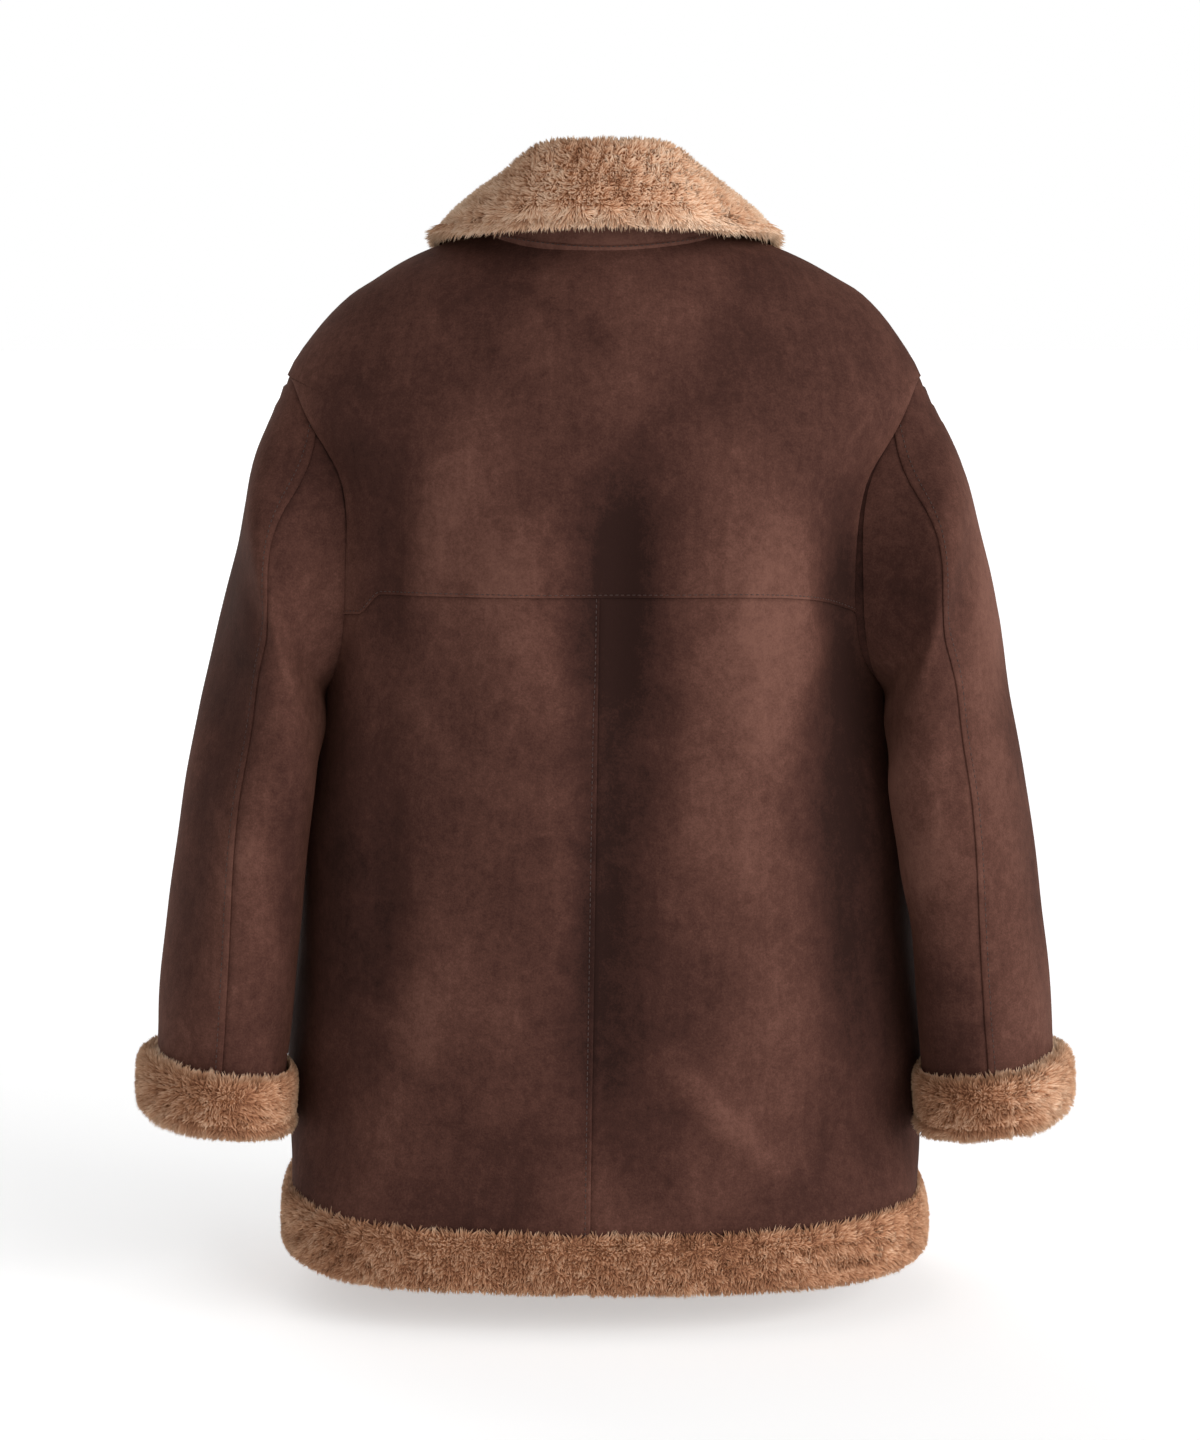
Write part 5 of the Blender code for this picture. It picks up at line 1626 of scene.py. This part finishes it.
CUFF_JOIN = {1: 66, -1: 62}          # turn of the upright join, in degrees
CUFF_JOIN_WIDTH = 0.0030
CUFF_JOIN_SHADE = 0.0070  # a darker line runs this far beside it
CUFF_SEAM = 0.474         # place of the seam, as a share of the way over the wool
CUFF_SEAM_WIDTH = 0.012
CUFF_TINT = -0.20         # the cuffs' wool is darker than the collar's
CUFF_LOCK = 0.0024        # length of a lock where the cuff is thinnest
CUFF_LOCK_SHARE = 0.24    # and the share of the cuff's thickness that adds to it
CUFF_INSIDE = (0.75, 0.7)           # from this place on, inside, only this share of that


def cuff_marks(side, place, turn):
    """How much paler and how much longer the locks are at the cuff's edge, join and seam, with painted shade
    and highlight at the seam and join.
    """
    edge = from_start(place, 0.13) + 0.8 * band(place, 0.66, 0.12)
    outer = ease((np.cos(turn) - 0.35) / 0.5)
    aside = (turn - np.radians(CUFF_JOIN[side])) * SLEEVE_RADIUS
    join = hump(aside, CUFF_JOIN_WIDTH) - 0.7 * hump(aside + CUFF_JOIN_SHADE, CUFF_JOIN_WIDTH)
    line = (place - CUFF_SEAM) / CUFF_SEAM_WIDTH
    seam_crack = hump(line)
    roll = hump(line / 1.5 + 1.6)
    front = ease(1.6 - np.abs(turn - np.pi / 2 - 0.3))
    # The dark seam line is painted shade in its crack, the pale roll over it a painted highlight, and the
    # darker line beside the join painted shade.
    tint = 0.34 * edge + 0.16 * outer + 0.22 * join + (0.20 * roll - 0.55 * seam_crack) * front
    longer = 0.0006 * join - (0.0030 * seam_crack + 0.0026 * roll) * front
    ends = ease((np.abs(np.cos(turn)) - 0.35) / 0.5)
    return tint, longer + 0.0040 * ends * band(place, 0.60, 0.22)


def make_cuff(side):
    node = f"cuff_{SIDES[side]}"
    loops, way_up, depth = cuff_outline(side)
    sheet = refined(loops, CUFF_FINE)
    base = swept(node + "_fleece", sheet, node, True)
    face = joined(sheet, 1)[CUFF_OPEN * CUFF_FINE - 2:CUFF_CLOSE * CUFF_FINE + 1]
    out = grid_normals(face)
    outside = len(face) // 3
    if ((face[outside] - joined(sheet.mean(axis=0))) * out[outside]).sum() < 0:
        out = -out
    up = np.broadcast_to(joined(way_up), face.shape)
    share = by_row(np.linspace(0, 1, len(face)), face.shape[1])
    deep = np.broadcast_to(joined(depth), share.shape)
    round_it = np.broadcast_to(np.linspace(0, 2 * np.pi, face.shape[1]), share.shape)
    rng = np.random.default_rng(31 + side)
    root, normal, comb, place, thick, turn = scatter((face, out, up, share, deep, round_it), LOCK, rng)
    upward = 1 - 2 * ease((place - 0.15) / 0.35)
    tint, longer = cuff_marks(side, place, turn)
    inside, shorter = CUFF_INSIDE
    length = CUFF_LOCK + CUFF_LOCK_SHARE * thick * np.where(place < inside, 1.0, shorter) + longer
    lean = 0.30 + 0.65 * from_start(place, 0.12)
    curl = 1 - 0.3 * from_start(place, 0.14)
    pile = make_pile(node + "_pile", root, unit(normal), comb * upward[:, None], length, lean, 41 + side,
                     curl=curl, tint=CUFF_TINT + tint, cracked=0.85)
    return base, pile


cuffs = {side: make_cuff(side) for side in SIDES}

# %% [markdown]
# ## Hem band
#
# A band of shearling, wool out, finishes the lower edge. It is sewn on in four pieces that follow the
# panels above them, so it is swept along the hem seam. Its locks point up over the seam, and down
# and inwards at the bottom.

# %% Hem band
HEM_BAND = table(
    "out share",
    ("inner_top",   -0.0045, 0.02),
    ("seam",         0.0005, 0.02),
    ("shoulder",     0.0030, 0.07),
    ("upper_face",   0.0043, 0.25),
    ("face",         0.0050, 0.60),
    ("lower_face",   0.0038, 0.86),
    ("bottom_out",   0.0008, 0.925),
    ("bottom_in",   -0.0030, 0.925),
    ("inner_low",   -0.0045, 0.84),
    ("inner_face",  -0.0050, 0.50),
    ("inner_high",  -0.0050, 0.15),
)
HEM_PITCH = 0.004
HEM_FINE = 4
HEM_OPEN = 1              # the wool stands on the outline from this point
HEM_CLOSE = 10            # to this one
HEM_RADIUS = 0.20         # of the body at the hem, for spacing the band's columns
HEM_TINT = -0.14
HEM_DENT = 0.021          # the band is dented at this x
HEM_DENT_WIDTH = 0.008
HEM_SLIM = -0.222         # its wool is shorter beyond this x, at the wearer's right
HEM_LOCKS = (0.0058, 0.0045)        # length of the locks outside, and inside
HEM_INSIDE = 0.72         # place at which the inside starts
HEM_TOP = 0.10            # and at which the locks of the top edge end
HEM_RUFF = 0.0012         # those are this much longer


def hem_outline(angle, lift):
    """The band's outline under the hem seam at these angles: points by (place, angle)."""
    top = lifted(angle, np.full(angle.shape, HEM))[0]
    normal = body_normal(angle, np.full(angle.shape, HEM))
    outward = unit(normal * np.array([1, 1, 0]))
    top = top + outward * lift[:, None]
    height = top[:, 2] - HEM_BOTTOM
    loops = []
    for place in HEM_BAND:
        point = top + outward * place["out"]
        point[:, 2] = top[:, 2] - height * place["share"]
        loops.append(point)
    return np.array(loops), outward


def hem_locks(root, place):
    """Length and tint of the band's locks, and how far they belong to its top edge."""
    top = from_start(place, HEM_TOP)
    bottom = band(place, 0.62, 0.10)
    dent = hump(root[:, 0] - HEM_DENT, HEM_DENT_WIDTH) * (root[:, 1] > 0)
    slim = ease((HEM_SLIM - root[:, 0]) / 0.02) * ease((0.34 - place) / 0.25)
    length = np.where(place < HEM_INSIDE, *HEM_LOCKS) + HEM_RUFF * top
    length = length * (1 - 0.30 * dent) * (1 - 0.55 * slim)
    # Painted shade: the band is darker in its dent, and over the wearer's right half, which the side lamp
    # lights more strongly.
    tint = HEM_TINT + 0.16 * top + 0.10 * bottom - 0.10 * dent - 0.10 * ease((-0.02 - root[:, 0]) / 0.04)
    return length, tint, top


def make_hem_band(word, angle, seed):
    x = body_form(angle, np.full(angle.shape, HEM))[..., 0]
    lift = climb(x) * ((np.abs(angle) > np.pi / 2) & (word == "front_left"))
    loops, outward = hem_outline(angle, lift)
    sheet = refined(joined(loops), HEM_FINE)[:-1]
    base = swept(f"hem_{word}_fleece", sheet, f"hem_band_{word}")
    face = sheet[HEM_OPEN * HEM_FINE:HEM_CLOSE * HEM_FINE + 1]
    out = grid_normals(face)
    if (out[HEM_FINE * 2] * outward).sum() < 0:
        out = -out
    share = by_row(np.linspace(0, 1, len(face)), face.shape[1])
    rng = np.random.default_rng(seed)
    root, normal, place = scatter((face, out, share), LOCK, rng)
    up = np.array([0.0, 0.0, 1.0]) * (1 - 2 * ease((place - HEM_TOP) / 0.25))[:, None]
    up = up + rng.normal(0, 0.05, up.shape)
    length, tint, top = hem_locks(root, place)
    pile = make_pile(f"hem_{word}_pile", root, unit(normal), up, length, 0.40 + 0.60 * top, seed + 5,
                     curl=1 - 0.2 * top, tint=tint, cracked=1.3)
    return base, pile


def angles_between(first, last):
    count = int(abs(last - first) * HEM_RADIUS / HEM_PITCH)
    return np.linspace(first, last, max(count, 8))


seam = float(centre_seam(HEM))
past = float(angle_at(OVERLAP, HEM))
HEM_SPANS = (("back_left", seam, np.pi / 2, 51), ("back_right", seam, -np.pi / 2, 52),
             ("front_left", np.pi / 2, np.pi + past, 53), ("front_right", -np.pi / 2, past - np.pi, 54))
hem_bands = {word: make_hem_band(word, angles_between(a, b), seed) for word, a, b, seed in HEM_SPANS}

# %% [markdown]
# ## Stitches
#
# The seams are topstitched with a thick thread, about 4 mm to a stitch. Each stitch is a short round
# bar that dives into the skin at both ends, and all the stitches of a seam are one mesh. A dashed
# line in the texture would be simpler, but stitches that stand up catch the light as thread does.

# %% Thread
STITCH = 0.0032           # length of a stitch
STITCH_PITCH = 0.0042
THREAD = 0.0008           # its thickness
TWIST = 0.0006


def twisted_thread(name, dark, pale):
    """Bonded polyester thread: a tight twist, with a slight gloss."""
    material, tree, shader = new_material(name, {"Roughness": 0.55})
    place = add(tree, "ShaderNodeTexCoord").outputs["Object"]
    twist = noise(tree, place, TWIST, 1.0)
    paint(tree, shader, twist, ((0.35, dark), (0.65, pale)), twist, 0.5, TWIST / 3)
    return material


brown_thread = twisted_thread("brown_thread", "#22120D", "#402820")


def spindles(start, end, up, thread):
    """Points and faces of a bar of thread from each start to its end, bulging up in between."""
    side = np.cross(up, unit(end - start))
    rings = []
    for share in (0.2, 0.8):
        middle = start + (end - start) * share + up * thread * 0.35
        rings += [middle + way * thread / 2 for way in (side, up, -side, -up)]
    points = np.stack([start, *rings, end], axis=1).reshape(-1, 3)
    pattern = []
    for k in range(4):
        j = (k + 1) % 4
        pattern += [1 + k, 1 + j, 5 + j, 5 + k]
    for k in range(4):
        j = (k + 1) % 4
        pattern += [0, 1 + j, 1 + k, 9, 5 + k, 5 + j]
    corners = (np.arange(len(start))[:, None] * 10 + np.array(pattern)).ravel()
    return points, np.tile((4,) * 4 + (3,) * 8, len(start)), corners


def thread_piece(name, start, end, up, thread=THREAD):
    points, sizes, corners = spindles(start, end, up, thread)
    return finish_piece(mesh_from_arrays(name, points, sizes, corners), name, (brown_thread,))


def stitch_row(name, line, out):
    """A row of stitches along a line of points on the skin."""
    reach = reach_along(line)
    count = int(reach[-1] / STITCH_PITCH)
    middle = (np.arange(count) + 0.5) * reach[-1] / count
    up = unit(read_along(middle, reach, out))
    start, end = (read_along(middle + way * STITCH / 2, reach, line) - up * THREAD * 0.3 for way in (-1, 1))
    piece = thread_piece(name, start, end, up)
    print(name, count, "stitches")
    return piece


# Which row or column of a panel's grid each line of stitches follows, counted from its seam.
YOKE_ROW = -4             # 2.0 mm above the yoke seam
CENTRE_COLUMN = 4         # 2.8 mm beside the centre back seam
LAPPED_COLUMN = -7        # 5.5 mm from the sleeve's back seam and from the front edge
STAND_ROW = 2

yoke_stitches = stitch_row("yoke_stitches", yoke_points[YOKE_ROW], yoke_normals[YOKE_ROW])
centre_stitches = stitch_row("centre_back_stitches", back_left_points[:, CENTRE_COLUMN],
                             back_left_normals[:, CENTRE_COLUMN])
front_stitches = stitch_row("front_edge_stitches", front_left_points[:, LAPPED_COLUMN],
                            front_left_normals[:, LAPPED_COLUMN])
for side, word in SIDES.items():
    _, points, normals = sleeves[side, "upper"]
    stitch_row(f"sleeve_{word}_stitches", points[:, LAPPED_COLUMN],
                                       normals[:, LAPPED_COLUMN])
stand_stitches = stitch_row("collar_stand_stitches", stand_points[STAND_ROW], stand_normals[STAND_ROW])

# %% [markdown]
# ## Buttons and buttonholes
#
# The buttons are of a resin that looks like horn: turned with a raised rim and a dish, drilled with
# four holes, and polished. The profile is turned round the button's axis. The holes are real, cut by
# a Boolean modifier, and thread crosses from hole to hole. Each buttonhole is a slit across the left
# front, worked with close stitches on both sides.

# %% Buttons
BUTTON = table(
    "radius rise",
    ("back",        0.60, 0.00),
    ("back_edge",   0.86, 0.06),
    ("side_back",   1.00, 0.35),
    ("side_front",  1.00, 0.75),
    ("rim_outside", 0.92, 1.00),
    ("rim_inside",  0.80, 0.92),
    ("dish_edge",   0.70, 0.62),
    ("dish",        0.35, 0.56),
)
TURN_SIDES = 48
PROFILE_FINE = 5          # rings between two rows of the profile
HOLE_RADIUS = 0.0010
HOLE_PLACE = 0.0021       # from the middle, both ways
HOLE_SIDES = 16
HOLE_CORNERS = ((1, 1), (-1, 1), (-1, -1), (1, -1))
BUTTON_EDGE = 50          # an edge of a button is sharp from this many degrees
HORN_STREAK = 0.0045


def horn_resin(name):
    """Polished resin, streaked like horn: brown clouds drawn out one way, under a clear surface."""
    material, tree, shader = new_material(name, {"Roughness": 0.22, "IOR": 1.54})
    place = add(tree, "ShaderNodeTexCoord").outputs["Object"]
    drawn = add(tree, "ShaderNodeMapping", {"Vector": place, "Scale": (1.0, 1.0, 0.35),
                                            "Rotation": (0.3, 0.5, 0.0)}).outputs["Vector"]
    streaks = noise(tree, drawn, HORN_STREAK, 4.0, 0.6, 1.5)
    stops = ((0.30, "#1B0F0A"), (0.50, "#3A2115"), (0.62, "#5C3A22"), (0.80, "#8A6038"))
    paint(tree, shader, streaks, stops)
    return material


polished_horn = horn_resin("polished_horn_resin")


def turned(name, profile, seat, axis, across, sides):
    """A closed mesh turned round an axis; the profile is (radius, height) pairs from end to end."""
    upward = np.cross(axis, across)
    turn = np.linspace(0, 2 * np.pi, sides, endpoint=False)[:, None]
    spoke = np.cos(turn) * across + np.sin(turn) * upward
    rings = [seat + spoke * radius + axis * height for radius, height in profile]
    points = np.concatenate(rings + [[seat + axis * profile[0][1]], [seat + axis * profile[-1][1]]])
    quads, first = [], len(profile) * sides
    faces = []
    for j in range(sides):
        k = (j + 1) % sides
        quads += [(i * sides + j, i * sides + k, (i + 1) * sides + k, (i + 1) * sides + j)
                  for i in range(len(profile) - 1)]
        faces += [(first, k, j), (first + 1, first - sides + j, first - sides + k)]
    mesh = bpy.data.meshes.new(name)
    mesh.from_pydata(points.tolist(), [], quads + faces)
    return mesh


def drilled(mesh, cutters):
    """The mesh with every cutter taken out of it."""
    block = bpy.data.objects.new("block", mesh)
    SCENE.collection.objects.link(block)
    tools = []
    for cutter in cutters:
        tool = bpy.data.objects.new("drill", cutter)
        SCENE.collection.objects.link(tool)
        cut = block.modifiers.new("hole", "BOOLEAN")
        cut.operation = "DIFFERENCE"
        cut.solver = "EXACT"
        cut.object = tool
        tools.append(tool)
    result = bpy.data.meshes.new_from_object(block.evaluated_get(bpy.context.evaluated_depsgraph_get()))
    for thing in [block] + tools:
        bpy.data.objects.remove(thing)
    return result


def down_at(height):
    """Distance down the front at which a height on the coat lies."""
    downs = np.linspace(0, HEM, 400)
    return np.interp(-height, -torso_value("front_z", downs), downs)


def button_seat(height):
    """Where a button sits on the left front, and which way it faces."""
    point, normal, _ = lifted(np.array([np.pi]), np.array([down_at(height)]))
    return point[0] + normal[0] * (WALL + 3 * SEAM), normal[0]


def button_disc(seat, axis, across, holes):
    """A turned disc with its holes drilled."""
    rows = np.array([(row["radius"] * BUTTON_RADIUS, row["rise"] * BUTTON_THICKNESS) for row in BUTTON])
    disc = turned("disc", refined(rows, PROFILE_FINE), seat, axis, across, TURN_SIDES)
    through = ((HOLE_RADIUS, -BUTTON_THICKNESS), (HOLE_RADIUS, 2 * BUTTON_THICKNESS))
    mesh = drilled(disc, [turned("drill", through, hole, axis, across, HOLE_SIDES) for hole in holes])
    mesh.shade_smooth()
    mesh.set_sharp_from_angle(angle=math.radians(BUTTON_EDGE))
    return mesh


def make_button(number, height):
    seat, axis = button_seat(height)
    across = unit(np.array([1.0, 0.0, 0.0]) - axis * axis[0])
    upward = np.cross(axis, across)
    holes = [seat + (across * i + upward * j) * HOLE_PLACE for i, j in HOLE_CORNERS]
    mesh = button_disc(seat, axis, across, holes)
    stands_for = (f"button_{number}",)
    button = finish_piece(mesh, f"horn_button_{number}", (polished_horn,), stands_for)
    level = np.array(holes) + axis * (BUTTON_THICKNESS * BUTTON[-1]["rise"] - THREAD * 0.2)
    shift = upward * THREAD * 0.55
    start = np.array([level[1] + shift, level[1] - shift, level[2] + shift, level[2] - shift])
    end = np.array([level[0] + shift, level[0] - shift, level[3] + shift, level[3] - shift])
    thread_piece(f"button_thread_{number}", start, end, np.tile(axis, (4, 1)))
    return button


buttons = [make_button(number, height) for number, height in enumerate(BUTTON_HEIGHTS, start=1)]
print("buttons:", len(buttons), "of", len(buttons[0].data.polygons), "faces")

# %% Buttonholes
BUTTONHOLE_LENGTH = 0.030
BUTTONHOLE_PITCH = 0.0009
BUTTONHOLE_BITE = 0.0024  # how far its stitches reach into the suede
BUTTONHOLE_PAST = 0.004   # how far it starts past the button
SLIT = 0.0006
SLIT_PLACES = 24


def make_buttonhole(number, height):
    """A slit across the front edge's line, from just past the button towards the side."""
    x = np.linspace(-BUTTONHOLE_PAST, BUTTONHOLE_LENGTH - BUTTONHOLE_PAST, SLIT_PLACES)
    down = np.full(x.shape, down_at(height))
    line, out, _ = lifted(np.pi - angle_at(x, down), down)
    line = line + out * climb(line[:, 0])[:, None]
    reach = reach_along(line)
    places = np.arange(BUTTONHOLE_PITCH, reach[-1], BUTTONHOLE_PITCH)
    spot, up = read_along(places, reach, line), unit(read_along(places, reach, out))
    along = unit(np.gradient(line, axis=0))
    beside = np.cross(up, read_along(places, reach, along))
    start = [spot + beside * way * SLIT * 0.4 - up * THREAD * 0.1 for way in (1, -1)]
    end = [spot + beside * way * BUTTONHOLE_BITE - up * THREAD * 0.3 for way in (1, -1)]
    return thread_piece(f"buttonhole_{number}", np.concatenate(start), np.concatenate(end),
                        np.concatenate([up, up]), THREAD * 0.9)


buttonholes = [make_buttonhole(number, height) for number, height in enumerate(BUTTON_HEIGHTS, start=1)]
print("buttonholes:", len(buttonholes))
